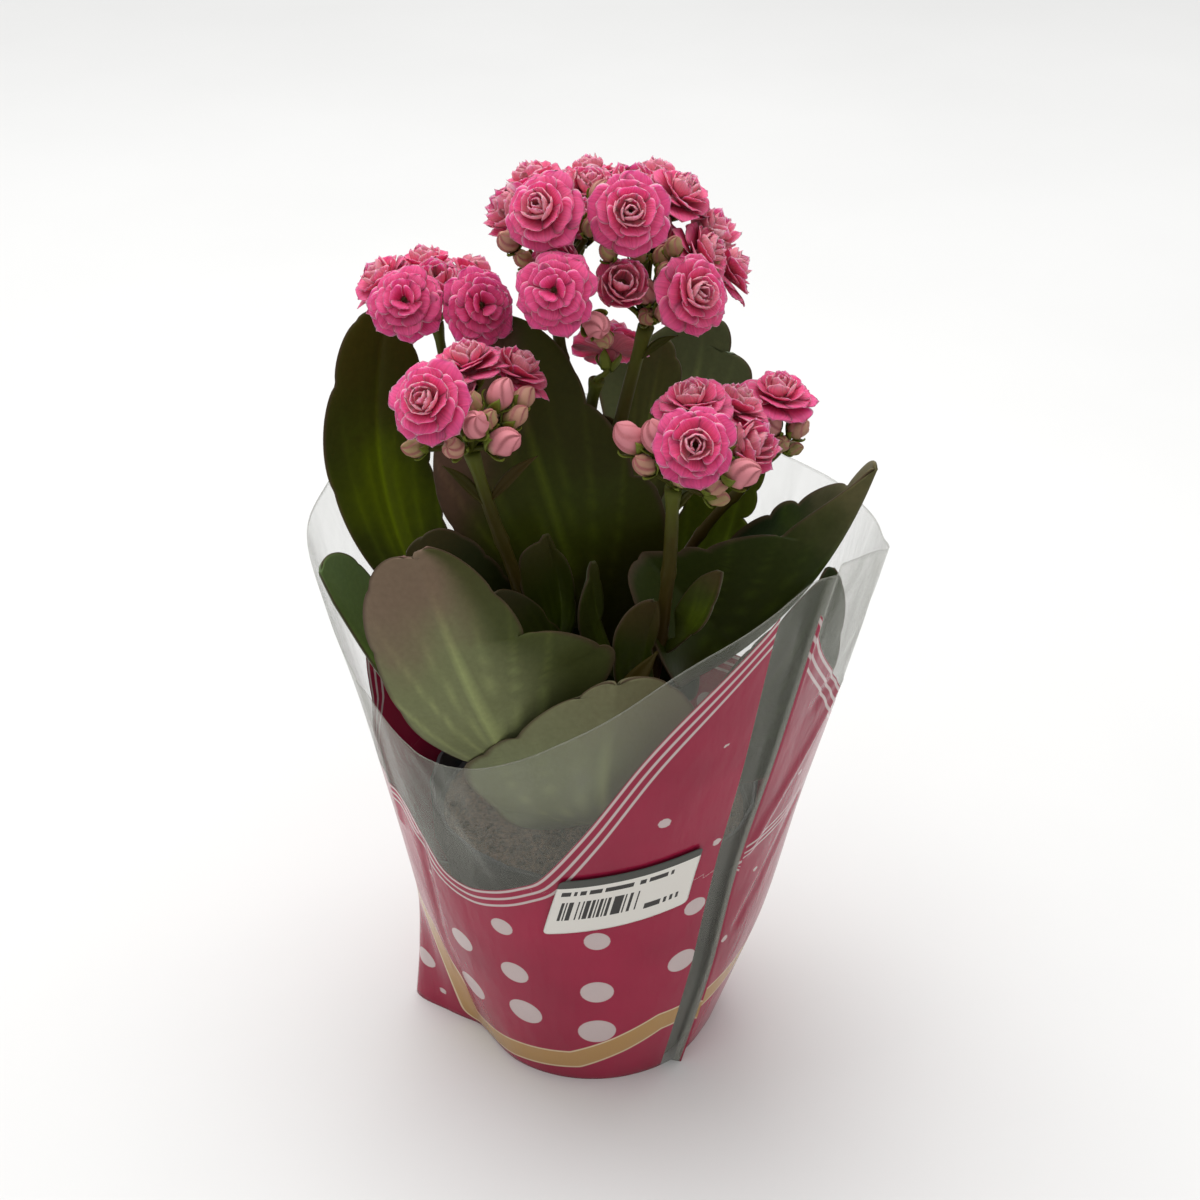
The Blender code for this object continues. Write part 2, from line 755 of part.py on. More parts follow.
def build_leaf(name, leaf, mat, collection):
    """Fleshy leaf: a grid moved on to the leaf's surface, given its thickness."""
    midrib = leaf_midrib(leaf)
    rows = 2 + 2 * leaf.lobes
    bm = bmesh.new()
    bmesh.ops.create_grid(bm, x_segments=leaf.columns, y_segments=rows, size=1.0)
    for v in bm.verts:
        row = round((v.co.y + 1) / 2 * rows)
        if row < 2:
            along = leaf.petiole * row / 2
        else:
            along = leaf.petiole + (1 - leaf.petiole) * (row - 2) / (rows - 2)
        v.co = leaf_point(leaf, midrib, along, v.co.x) * MM
    bmesh.ops.triangulate(bm, faces=bm.faces)
    obj = mesh_object(f"leaf_{name}", bm, mat, collection)
    flesh = obj.modifiers.new("flesh", "SOLIDIFY")
    flesh.thickness = LEAF_THICK * MM
    flesh.offset = 0.0
    return obj


def bloom_radius(bloom):
    """Radius of a bloom's widest ring of petals."""
    return HALF_R if bloom.half_open else OPEN_R


def bloom_frame(bloom):
    """Matrix of a bloom's own axes, in millimetres: its foot at the origin and its dome along +Z."""
    faces = Vector(bloom.faces).normalized()
    turn = faces.to_track_quat("Z", "Y").to_matrix().to_4x4()
    return Matrix.Translation(Vector(bloom.at) - faces * BLOOM_MIDDLE) @ turn


def build_bloom(name, bloom, neighbours, mat, collection):
    """Double bloom: a sphere drawn out into rings of notched petals, bent clear of its neighbours."""
    rings = HALF_RINGS if bloom.half_open else OPEN_RINGS
    sides = 3 * PETALS_ROUND
    bm = bmesh.new()
    bmesh.ops.create_uvsphere(bm, u_segments=sides, v_segments=len(rings) + 1, radius=1.0)
    frame = bloom_frame(bloom)
    for v in bm.verts:
        level = round((len(rings) + 1) * (1 - math.acos(max(-1.0, min(1.0, v.co.z))) / math.pi))
        if level == 0 or level == len(rings) + 1:
            v.co = (0, 0, 0 if level == 0 else BLOOM_TOP)
            continue
        r, z = rings[level - 1]
        column = round(math.atan2(v.co.y, v.co.x) / math.tau * sides)
        shift = level // 2
        notched = level - 1 in MARGIN_RINGS and (column + shift) % 3 == 0
        a = math.tau * column / sides
        r *= NOTCH if notched else 1.0
        v.co = (r * math.cos(a), r * math.sin(a), z)
    bm.transform(frame)
    for v in bm.verts:
        for other in neighbours:
            away = Vector(other.at) - Vector(bloom.at)
            share = bloom_radius(bloom) / (bloom_radius(bloom) + bloom_radius(other))
            past = (v.co - Vector(bloom.at)).dot(away.normalized()) - away.length * share + GAP / 2
            if past > 0:
                v.co -= away.normalized() * past
    bm.transform(frame.inverted())
    bm.transform(Matrix.Scale(MM, 4))
    obj = mesh_object(name, bm, mat, collection)
    place = frame.copy()
    place.translation *= MM
    obj.matrix_world = place
    return obj


def main():
    """Build every piece of the plant, its pot and its sleeve."""
    clear_scene()
    whole = new_collection("potted_kalanchoe")
    green = material("stem_green", (0.12, 0.16, 0.05), 0.5)
    for name in STEMS:
        build_stem(name, green, whole)
    build_pot(material("pot_plastic", (0.05, 0.05, 0.055), 0.5), whole)
    build_soil(material("peat_mix", (0.07, 0.045, 0.03), 0.95), whole)
    build_sleeve(material("sleeve_film", (0.5, 0.03, 0.12), 0.2), whole)
    build_label(material("label_paper", (0.8, 0.8, 0.78), 0.6), whole)
    leaf_green = material("leaf_green", (0.05, 0.1, 0.03), 0.35)
    for name, leaf in LEAVES.items():
        build_leaf(name, leaf, leaf_green, whole)
    pink = material("petal_pink", (0.75, 0.1, 0.27), 0.5)
    blooms = {}
    for title, head in HEADS.items():
        for k, bloom in enumerate(head.blooms):
            blooms[f"bloom_{title}_{k + 1}"] = bloom
    for name, bloom in blooms.items():
        near = [o for o in blooms.values() if o is not bloom and math.dist(o.at, bloom.at) < BLOOM_REACH]
        build_bloom(name, bloom, near, pink, whole)


main()
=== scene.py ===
"""Looks of a double-flowered kalanchoe in its nursery pot and printed film sleeve.

Shapes are worked out in millimetres and turned to metres when they become a piece. The origin is the middle
of the pot's foot, +Z is up and the front of the sleeve faces -Y. A heading is an angle seen from above: 0 is
the front, +90 the right (+X), -90 the left and 180 the back.
"""

import logging
import math
from dataclasses import dataclass, field
from enum import Enum

import bpy
import numpy as np
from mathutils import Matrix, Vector


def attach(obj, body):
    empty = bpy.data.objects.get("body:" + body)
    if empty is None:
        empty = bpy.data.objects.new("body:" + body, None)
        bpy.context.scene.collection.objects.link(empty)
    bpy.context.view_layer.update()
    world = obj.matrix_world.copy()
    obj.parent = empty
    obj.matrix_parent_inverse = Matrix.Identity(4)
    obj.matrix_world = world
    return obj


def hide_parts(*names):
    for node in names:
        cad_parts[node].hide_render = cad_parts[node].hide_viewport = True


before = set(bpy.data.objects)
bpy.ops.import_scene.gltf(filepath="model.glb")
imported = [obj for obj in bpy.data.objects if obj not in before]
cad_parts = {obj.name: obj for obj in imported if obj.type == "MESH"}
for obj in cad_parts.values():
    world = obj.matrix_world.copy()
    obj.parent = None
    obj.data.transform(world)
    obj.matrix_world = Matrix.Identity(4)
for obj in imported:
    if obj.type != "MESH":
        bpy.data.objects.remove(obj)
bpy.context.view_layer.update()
LOG = logging.getLogger("kalanchoe")
MM = 0.001
BODY = "root"
Array = np.ndarray
Socket = bpy.types.NodeSocket
Colour = str | Socket | tuple[float, ...]


def linear(code: str) -> tuple[float, float, float, float]:
    """Turn an sRGB hex colour to linear red, green, blue and alpha.

    Args:
        code: Six hex digits after a #.

    Returns:
        Linear colour with alpha 1.
    """
    channels = [int(code[k : k + 2], 16) / 255 for k in (1, 3, 5)]
    red, green, blue = (c / 12.92 if c <= 0.04045 else ((c + 0.055) / 1.055) ** 2.4 for c in channels)
    return red, green, blue, 1.0


def node(tree: bpy.types.NodeTree, kind: str, settings: dict, links: dict | None = None) -> bpy.types.Node:
    """Add one shader node.

    Args:
        tree: Node tree that takes it.
        kind: Blender's name for the node type.
        settings: Values by property name, or by input name or number.
        links: Output sockets by input name or number.

    Returns:
        The new node.
    """
    made = tree.nodes.new(kind)
    for key, value in settings.items():
        if isinstance(key, str) and hasattr(made, key):
            setattr(made, key, value)
        else:
            made.inputs[key].default_value = value
    for key, socket in (links or {}).items():
        tree.links.new(socket, made.inputs[key])
    return made


def smooth_between(stations: Array, values: Array, x: Array) -> Array:
    """Smooth curve through stations: a cubic between two of them, with each slope taken from its neighbours.

    Args:
        stations: Rising positions.
        values: A value at each station, or a row of values with one for each point of x.
        x: Positions to read the curve at.

    Returns:
        The curve's value at each point of x.
    """
    at, v = np.asarray(stations, float), np.asarray(values, float)
    x = np.asarray(x, float)
    order = np.arange(len(at))
    low, high = np.maximum(order - 1, 0), np.minimum(order + 1, len(at) - 1)
    slope = (v[high] - v[low]) / (at[high] - at[low]).reshape(-1, *[1] * (v.ndim - 1))
    k = np.clip(np.searchsorted(at, x, side="right") - 1, 0, len(at) - 2)
    span = at[k + 1] - at[k]
    t = (x - at[k]) / span
    picks = (k,) if v.ndim == 1 else (k, np.arange(x.size))
    nexts = (k + 1,) if v.ndim == 1 else (k + 1, np.arange(x.size))
    start = (2 * t**3 - 3 * t**2 + 1) * v[picks] + (t**3 - 2 * t**2 + t) * slope[picks] * span
    return start + (-2 * t**3 + 3 * t**2) * v[nexts] + (t**3 - t**2) * slope[nexts] * span


def unit(vectors: Array) -> Array:
    """Vectors of length 1 along the last axis."""
    return vectors / np.maximum(np.linalg.norm(vectors, axis=-1, keepdims=True), 1e-9)


def smooth_step(low: float, high: float, x: Array) -> Array:
    """Rise from 0 at low to 1 at high, level at both ends."""
    t = np.clip((x - low) / (high - low), 0.0, 1.0)
    return t * t * (3 - 2 * t)


def heading_vector(heading: float | Array) -> Array:
    """Level unit vector that points along a heading in degrees."""
    a = np.radians(heading)
    return np.stack([np.sin(a), -np.cos(a), np.zeros_like(a)], axis=-1)


def standing(heading: Array, reach: Array, height: Array) -> Array:
    """Points that lie along headings, so far from the middle and so high."""
    return heading_vector(heading) * reach[..., None] + np.array([0, 0, 1.0]) * height[..., None]


def bezier(points: Array, t: Array) -> Array:
    """Points of a cubic Bezier curve at the shares t."""
    a, b, c, d = (np.asarray(p, float) for p in points)
    t = np.asarray(t, float)[:, None]
    s = 1 - t
    return a * s**3 + b * (3 * s * s * t) + c * (3 * s * t * t) + d * t**3


@dataclass
class Shapes:
    """Surfaces gathered into one piece, each with named values at its points."""

    points: list[Array] = field(default_factory=list)
    quads: list[Array] = field(default_factory=list)
    tris: list[Array] = field(default_factory=list)
    values: dict[str, list[Array]] = field(default_factory=dict)
    count: int = 0

    def add(self, points: Array, quads: Array, tris: Array | None = None, **values: Array | float) -> None:
        """Take in one surface.

        Args:
            points: Points in millimetres.
            quads: Four point numbers a face.
            tris: Three point numbers a face, where it has any.
            **values: A value at each point, or one for all, by name.
        """
        self.points.append(points)
        self.quads.append(quads + self.count)
        if tris is not None:
            self.tris.append(tris + self.count)
        for name, value in values.items():
            self.values.setdefault(name, []).append(np.broadcast_to(value, len(points)))
        self.count += len(points)

    def piece(
        self, name: str, finish: bpy.types.Material, nodes: tuple[str, ...]
    ) -> bpy.types.Object:
        """Make the object, with its values as attributes, and set it in the frame.

        Args:
            name: The piece's name.
            finish: Its material.
            nodes: CAD nodes that it stands for.

        Returns:
            The finished piece.
        """
        points = np.concatenate(self.points) * MM
        quads = np.concatenate(self.quads)
        tris = np.concatenate(self.tris) if self.tris else np.zeros((0, 3), int)
        mesh = bpy.data.meshes.new(name)
        mesh.vertices.add(len(points))
        mesh.vertices.foreach_set("co", points.astype(np.float32).ravel())
        corners = np.concatenate([quads.ravel(), tris.ravel()])
        sizes = np.concatenate([np.full(len(quads), 4), np.full(len(tris), 3)])
        mesh.loops.add(len(corners))
        mesh.loops.foreach_set("vertex_index", corners.astype(np.int32))
        mesh.polygons.add(len(sizes))
        starts = np.concatenate([[0], np.cumsum(sizes)[:-1]])
        mesh.polygons.foreach_set("loop_start", starts.astype(np.int32))
        mesh.update(calc_edges=True)
        mesh.validate()
        mesh.shade_smooth()
        for title, parts in self.values.items():
            attribute = mesh.attributes.new(title, "FLOAT", "POINT")
            attribute.data.foreach_set("value", np.concatenate(parts).astype(np.float32))
        mesh.materials.append(finish)
        obj = bpy.data.objects.new(name, mesh)
        bpy.context.scene.collection.objects.link(obj)
        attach(obj, BODY)
        if nodes:
            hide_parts(*nodes)
        LOG.info("%s: %d faces", name, len(sizes))
        return obj


def grid_faces(rows: int, columns: int, index: Array | None = None, wrap: bool = False) -> Array:
    """Quads of a grid whose columns run to the right of its rows, facing up.

    Args:
        rows: Points along.
        columns: Points across.
        index: Number of each point, or None for their own order.
        wrap: Whether the last column joins the first.

    Returns:
        Four point numbers a face.
    """
    index = np.arange(rows * columns).reshape(rows, columns) if index is None else index
    right = np.roll(index, -1, axis=1)
    quads = np.stack([index[:-1], right[:-1], right[1:], index[1:]], axis=-1)
    return (quads if wrap else quads[:, :-1]).reshape(-1, 4)


def lens(middle: Array, thickness: Array) -> tuple[Array, Array, Array]:
    """Closed blade: a middle surface moved half its thickness to each side, its two faces joined at the rim.

    Args:
        middle: Points of the middle surface, rows along and columns to the right.
        thickness: Thickness at each of them, unused on the rim.

    Returns:
        Points, quads and the side of each point: 0 above, 1 below and a half on the rim.
    """
    rows, columns = middle.shape[:2]
    normal = unit(np.cross(np.gradient(middle, axis=1), np.gradient(middle, axis=0)))
    rim = np.ones((rows, columns), bool)
    rim[1:-1, 1:-1] = False
    half = np.where(rim, 0.0, thickness / 2)[..., None]
    above = np.arange(rows * columns).reshape(rows, columns)
    below = above.copy()
    below[~rim] = rows * columns + np.arange((~rim).sum())
    points = np.concatenate([(middle + normal * half).reshape(-1, 3), (middle - normal * half)[~rim]])
    quads = np.concatenate([grid_faces(rows, columns, above), grid_faces(rows, columns, below)[:, ::-1]])
    side = np.concatenate([np.where(rim, 0.5, 0.0).ravel(), np.ones((~rim).sum())])
    return points, quads, side


def both_faces(values: Array) -> Array:
    """Values of a blade's middle surface, repeated for the points that lens gives its lower face."""
    inner = values[1:-1, 1:-1]
    return np.concatenate([values.ravel(), inner.ravel()])


def full_turn(count: int) -> Array:
    """Evenly spaced angles of a full turn."""
    return np.linspace(0, math.tau, count, endpoint=False)


def blade_grid(rows: int, columns: int) -> tuple[Array, Array]:
    """Places on a blade: from 0 at its foot to 1 at its tip, and from -1 to 1 across."""
    u, v = np.meshgrid(np.linspace(0, 1, rows), np.linspace(-1, 1, columns), indexing="ij")
    return u, v


def turned(points: Array, angle: float) -> Array:
    """Points turned about the Z axis, by an angle in radians."""
    c, s = math.cos(angle), math.sin(angle)
    return points @ np.array([[c, s, 0], [-s, c, 0], [0, 0, 1.0]])


def turn_to(way: Array) -> Array:
    """Rotation that turns +Z to a way."""
    return np.array(Vector(way).to_track_quat("Z", "Y").to_matrix())


def caps(rows: int, sides: int) -> Array:
    """End triangles of a closed stack of rings, whose two end points come after the rings."""
    first = np.arange(sides)
    after = np.roll(first, -1)
    last = (rows - 1) * sides
    foot = np.stack([first, after, np.full(sides, rows * sides)], axis=-1)
    top = np.stack([after + last, first + last, np.full(sides, rows * sides + 1)], axis=-1)
    return np.concatenate([foot, top])


def swept(path: Array, radii: Array, sides: int) -> tuple[Array, Array, Array]:
    """Round tube along a path, closed by a point at each end.

    Args:
        path: Points of the middle line.
        radii: Radius at each of them.
        sides: Points around.

    Returns:
        Points, quads and end triangles.
    """
    path = np.asarray(path, float)
    tangent = unit(np.gradient(path, axis=0))
    chord = unit(path[-1] - path[0])
    least = np.eye(3)[np.abs(chord).argmin()]
    level = unit(np.cross(chord, least))
    side = unit(np.cross(tangent, level))
    up = np.cross(side, tangent)
    a = full_turn(sides)
    round_off = side[:, None] * np.cos(a)[None, :, None] + up[:, None] * np.sin(a)[None, :, None]
    rings = path[:, None] + round_off * np.asarray(radii, float)[:, None, None]
    points = np.concatenate([rings.reshape(-1, 3), path[:1], path[-1:]])
    return points, grid_faces(len(path), sides, wrap=True)[:, ::-1], caps(len(path), sides)


class BloomForm(Enum):
    """How far a double bloom has opened."""

    ROSE = "open, with a rolled middle"
    FLAT = "open flat, with a small eye"
    HALF = "half open, like a cup"


class StemName(Enum):
    """Rooted stems of the plant."""

    LEFT = "stem_left"
    BACK = "stem_back"
    RIGHT = "stem_right"


class Paint:
    """Shader tree of one material, with a short call for each kind of node that repeats."""

    def __init__(self, name: str, titles: tuple[str, ...] = ()) -> None:
        """Start the material and read the values that its pieces carry.

        Args:
            name: The material's name.
            titles: Names of the values.
        """
        self.material = bpy.data.materials.new(name)
        self.material.use_nodes = True
        self.tree = self.material.node_tree
        self.shader = self.tree.nodes["Principled BSDF"]
        self.value = {
            title: self.add("ShaderNodeAttribute", {"attribute_name": title}, out="Fac") for title in titles
        }
        self.place = self.add("ShaderNodeTexCoord", {}, out="Object")

    def add(self, kind: str, settings: dict, parts: dict | None = None, out: int | str = 0) -> Socket:
        """Add a node and give back one output. Parts that are sockets are linked, and the others are set."""
        parts = parts or {}
        links = {key: part for key, part in parts.items() if isinstance(part, Socket)}
        fixed = {key: part for key, part in parts.items() if key not in links}
        return node(self.tree, kind, settings | fixed, links).outputs[out]

    def math(self, operation: str, *parts: Socket | float, clamp: bool = False) -> Socket:
        """One step of arithmetic."""
        settings = {"operation": operation, "use_clamp": clamp}
        return self.add("ShaderNodeMath", settings, dict(enumerate(parts)))

    def mix(self, share: Socket, first: Colour, second: Colour, blend: str = "MIX") -> Socket:
        """Blend from the first colour to the second. A colour is a hex code, a socket or linear values."""
        first, second = (linear(end) if isinstance(end, str) else end for end in (first, second))
        settings = {"data_type": "RGBA", "blend_type": blend}
        return self.add("ShaderNodeMix", settings, {0: share, 6: first, 7: second}, 2)

    def scaled(self, colour: Colour, share: Socket) -> Socket:
        """Colour times a share."""
        return self.add("ShaderNodeVectorMath", {"operation": "SCALE"}, {0: colour, "Scale": share})

    def ramp(
        self,
        value: Socket,
        low: float,
        high: float,
        ends: tuple[float, float] = (0.0, 1.0),
        soft: bool = False,
    ) -> Socket:
        """Read a value between low and high as one between both ends, straight or softly level there."""
        settings = {
            "interpolation_type": "SMOOTHSTEP" if soft else "LINEAR",
            "From Min": low,
            "From Max": high,
            "To Min": ends[0],
            "To Max": ends[1],
        }
        return self.add("ShaderNodeMapRange", settings, {"Value": value})

    def noise(self, scale: float, detail: float, at: Socket | None = None) -> Socket:
        """Cloudy noise with scale cells in a metre."""
        vector = self.place if at is None else at
        return self.add("ShaderNodeTexNoise", {"Scale": scale, "Detail": detail}, {"Vector": vector})

    def bump(self, height: Socket, strength: float, depth: float) -> Socket:
        """Give the shader a fine relief, depth metres high at its strongest."""
        made = self.add("ShaderNodeBump", {"Strength": strength, "Distance": depth}, {"Height": height})
        self.tree.links.new(made, self.shader.inputs["Normal"])
        return made

    def coat(self, colour: Socket, roughness: Socket | float, gloss: float = 0.5) -> bpy.types.Material:
        """Give the shader its colour, roughness and gloss, and give back the material."""
        self.tree.links.new(colour, self.shader.inputs["Base Color"])
        if isinstance(roughness, Socket):
            self.tree.links.new(roughness, self.shader.inputs["Roughness"])
        else:
            self.shader.inputs["Roughness"].default_value = roughness
        self.shader.inputs["Specular IOR Level"].default_value = gloss
        return self.material


@dataclass(frozen=True)
class PetalFinish:
    """Petals, soft and matt: deep pink faces, fine pale edges, a paler rolled heart and dusty backs."""

    name: str = "petal_double_kalanchoe"
    face: str = "#f45288"
    deep: str = "#c42c5e"
    heart: str = "#f59aa6"
    edge: str = "#f6a3b6"
    beneath: str = "#c26a72"
    eye: str = "#3c2c10"
    roughness: float = 0.6
    gloss: float = 0.2
    glow: float = 0.5  # share of light that goes into the petal
    glow_reach: tuple = (0.004, 0.0009, 0.0018)  # metres that red, green and blue travel in it

    def material(self) -> bpy.types.Material:
        """Build the material from the petals' values along, across, edge, side, heart, fade and eye."""
        paint = Paint(self.name, ("along", "across", "edge", "side", "heart", "fade", "eye"))
        value = paint.value
        # blotches about 2 mm across, as where a petal has aged, and veins that run along each petal
        aged = paint.ramp(paint.noise(450.0, 3.0), 0.3, 0.7, (0.1, 0.75))
        lines = {"noise_dimensions": "1D", "Scale": 7.0, "Detail": 1.0}
        vein = paint.add("ShaderNodeTexNoise", lines, {"W": value["across"]})
        colour = paint.mix(paint.ramp(value["along"], 0.2, 0.85, soft=True), self.deep, self.face)
        colour = paint.mix(paint.math("MULTIPLY", value["side"], 0.8), colour, self.beneath)
        colour = paint.mix(value["heart"], colour, self.heart)
        colour = paint.mix(paint.math("MULTIPLY", aged, value["fade"]), colour, self.beneath)
        colour = paint.mix(paint.ramp(value["edge"], 0.92, 1.0, (0.0, 0.6), soft=True), colour, self.edge)
        colour = paint.scaled(colour, paint.ramp(vein, 0.3, 0.7, (0.9, 1.08)))
        colour = paint.mix(value["eye"], colour, self.eye)
        paint.shader.inputs["Subsurface Weight"].default_value = self.glow
        paint.shader.inputs["Subsurface Radius"].default_value = self.glow_reach
        paint.shader.inputs["Subsurface Scale"].default_value = 1.0
        paint.bump(vein, 0.3, 0.0004)
        return paint.coat(colour, self.roughness, self.gloss)


@dataclass(frozen=True)
class LeafFinish:
    """Fleshy kalanchoe leaf, satin from its wax: green with a red-brown blush where it has had the sun."""

    name: str
    blade: str = "#2b3516"
    young: str = "#44520f"  # greener patch in the middle of the blade
    young_at: float = 0.45
    blush: str = "#43301f"
    blush_from: float = 0.7  # share of the length where the blush begins
    blush_side: float = 0.0  # -1 blushes the left half more, 1 the right half
    beneath: str = "#75806a"
    shade: str = "#2c310f"  # painted shade on one half of the underside, where it lies out of the light
    shade_side: float = 0.0  # -1 paints that shade on the left half beneath, 1 on the right half
    rim: str = "#4a3a2c"
    vein: tuple = (0.95, 1.0, 0.85, 1.0)
    roughness: float = 0.42
    gloss: float = 0.12

    def material(self) -> bpy.types.Material:
        """Build the material from the blade's values along, across, side and vein."""
        paint = Paint(self.name, ("along", "across", "side", "vein"))
        value = paint.value
        # cloudy colour about 15 mm across, and a fine mottle of 1.5 mm
        cloud = paint.noise(65.0, 3.0)
        mottle = paint.noise(650.0, 4.0)
        along = paint.math("ADD", value["along"], paint.math("MULTIPLY_ADD", cloud, 0.3, -0.15))
        wide = paint.math("ABSOLUTE", value["across"])
        off = paint.math("ABSOLUTE", paint.math("SUBTRACT", along, self.young_at))
        patch = paint.ramp(paint.math("MULTIPLY_ADD", wide, 0.22, off), 0.34, 0.05, soft=True)
        above = paint.mix(patch, self.blade, self.young)
        lean = paint.math("MULTIPLY_ADD", value["across"], 0.28 * self.blush_side, along)
        sunned = paint.ramp(lean, self.blush_from - 0.16, self.blush_from + 0.18, (0.0, 0.92), soft=True)
        above = paint.mix(sunned, above, self.blush)
        below = paint.mix(paint.math("MULTIPLY", sunned, 0.75), self.beneath, self.blush)
        # painted shade: one half of the underside darkens towards its margin
        shaded = paint.math("MULTIPLY", value["across"], self.shade_side)
        below = paint.mix(paint.ramp(shaded, 0.1, 0.75, (0.0, 0.85), soft=True), below, self.shade)
        colour = paint.mix(value["side"], above, below)
        colour = paint.mix(paint.ramp(wide, 0.93, 1.0, (0.0, 0.8), soft=True), colour, self.rim)
        colour = paint.mix(value["vein"], colour, self.vein, "SOFT_LIGHT")
        colour = paint.scaled(colour, paint.ramp(mottle, 0.3, 0.7, (0.93, 1.06)))
        paint.bump(mottle, 0.18, 0.0006)
        dull = paint.ramp(cloud, 0.0, 1.0, (self.roughness - 0.06, self.roughness + 0.14))
        return paint.coat(colour, dull, self.gloss)


@dataclass(frozen=True)
class StalkFinish:
    """Stalks, calyxes and buds: fleshy green, red-brown in the light, with cream and pink buds."""

    name: str = "stalk_and_bud"
    green: str = "#3e410c"
    brown: str = "#3f2b11"
    calyx: str = "#677026"
    young_bud: str = "#9c8f5c"
    ripe_bud: str = "#d98a92"
    crease: str = "#ae6468"
    roughness: float = 0.5
    gloss: float = 0.15

    def material(self) -> bpy.types.Material:
        """Build the material from the values bud, ripe, along, crease and brown."""
        paint = Paint(self.name, ("bud", "ripe", "along", "crease", "brown"))
        value = paint.value
        # brown clouds about 8 mm across
        cloud = paint.noise(120.0, 3.0)
        browned = paint.math("MAXIMUM", paint.ramp(cloud, 0.42, 0.68, (0.0, 0.5), soft=True), value["brown"])
        stalk = paint.mix(browned, self.green, self.brown)
        flush = paint.mix(value["ripe"], self.young_bud, self.ripe_bud)
        petals = paint.mix(paint.ramp(value["along"], 0.05, 0.5, soft=True), self.calyx, flush)
        petals = paint.mix(value["crease"], petals, self.crease)
        paint.bump(cloud, 0.2, 0.0005)
        return paint.coat(paint.mix(value["bud"], stalk, petals), self.roughness, self.gloss)


@dataclass(frozen=True)
class FilmFinish:
    """Polypropylene film, blown and printed: glossy, a little milky, crimson below a swag of white lines."""

    name: str = "printed_film"
    clear: str = "#aeafa4"
    crimson: str = "#9c1f3f"
    white: str = "#cdbcba"
    gold: str = "#b8905a"
    cream: str = "#dcc9a6"
    haze: float = 0.1  # share of light that each face of plain film stops
    ink: float = 0.965  # share of light that each face of printed film stops
    slant_haze: float = 0.45  # what the plain film stops more where it is seen edge on
    roughness: float = 0.18
    gloss: float = 0.25
    # places of the white lines across each set, in millimetres from its middle line, and half their width
    swag_lines: tuple = ((2.9, 0.1, -2.7), 0.45)
    second_lines: tuple = ((2.3, 0.0, -2.3), 0.36)
    blur: float = 0.12  # half the width of a printed edge
    print_edge: float = 3.9  # how far the crimson reaches above the swag's middle line
    gold_half: float = 3.9
    cream_half: float = 4.6

    def material(self) -> bpy.types.Material:
        """Build the material from the values swag, second, dots, band and strip, all in millimetres."""
        paint = Paint(self.name, ("swag", "second", "dots", "band", "strip", "rim", "seam"))
        value = paint.value

        def within(source: Socket, middle: float, half: float) -> Socket:
            """1 where source is within half of middle, with a printed line's crisp edge."""
            apart = paint.math("ABSOLUTE", paint.math("SUBTRACT", source, middle))
            return paint.ramp(apart, half + self.blur, half - self.blur)

        light = paint.ramp(value["dots"], self.blur, -self.blur)
        for title, (places, half) in (("swag", self.swag_lines), ("second", self.second_lines)):
            for at in places:
                light = paint.math("MAXIMUM", light, within(value[title], at, half))
        # the ink lies a little thicker and thinner in clouds about 40 mm across
        thin = paint.ramp(paint.noise(25.0, 3.0), 0.3, 0.7, (0.86, 1.12))
        colour = paint.mix(light, paint.scaled(linear(self.crimson)[:3], thin), self.white)
        colour = paint.mix(within(value["band"], 0.0, self.cream_half), colour, self.cream)
        colour = paint.mix(within(value["band"], 0.0, self.gold_half), colour, self.gold)
        under = paint.ramp(value["swag"], self.print_edge, self.print_edge - 0.25)
        inked = paint.math("MULTIPLY", under, paint.ramp(value["strip"], -0.1, 0.1))
        material = paint.coat(paint.mix(inked, self.clear, colour), self.roughness, self.gloss)
        # soft streaks and crinkles of the thin film, 10 to 30 mm long
        streaks = paint.add("ShaderNodeMapping", {"Scale": (60.0, 60.0, 14.0)}, {"Vector": paint.place})
        crinkle = paint.noise(1.0, 4.0, streaks)
        wave = paint.bump(crinkle, 0.5, 0.003)
        facing = paint.add("ShaderNodeLayerWeight", {"Blend": 0.5}, {"Normal": wave}, "Facing")
        # scuffed patches about 15 mm long stop more light than the clean film between them
        worn = paint.math("ADD", paint.ramp(crinkle, 0.5, 0.8, (0.0, 0.1), soft=True), self.haze)
        glancing = paint.math("MULTIPLY_ADD", paint.math("POWER", facing, 3.0), self.slant_haze, worn)
        folded = paint.math("MAXIMUM", value["rim"], value["seam"])
        milky = paint.math("MAXIMUM", glancing, folded, clamp=True)
        stops = paint.add("ShaderNodeMix", {"data_type": "FLOAT", 3: self.ink}, {0: inked, 2: milky})
        see = paint.add("ShaderNodeBsdfTransparent", {})
        mixed = paint.add("ShaderNodeMixShader", {}, {0: stops, 1: see, 2: paint.shader.outputs[0]})
        paint.tree.links.new(mixed, paint.tree.nodes["Material Output"].inputs["Surface"])
        return material


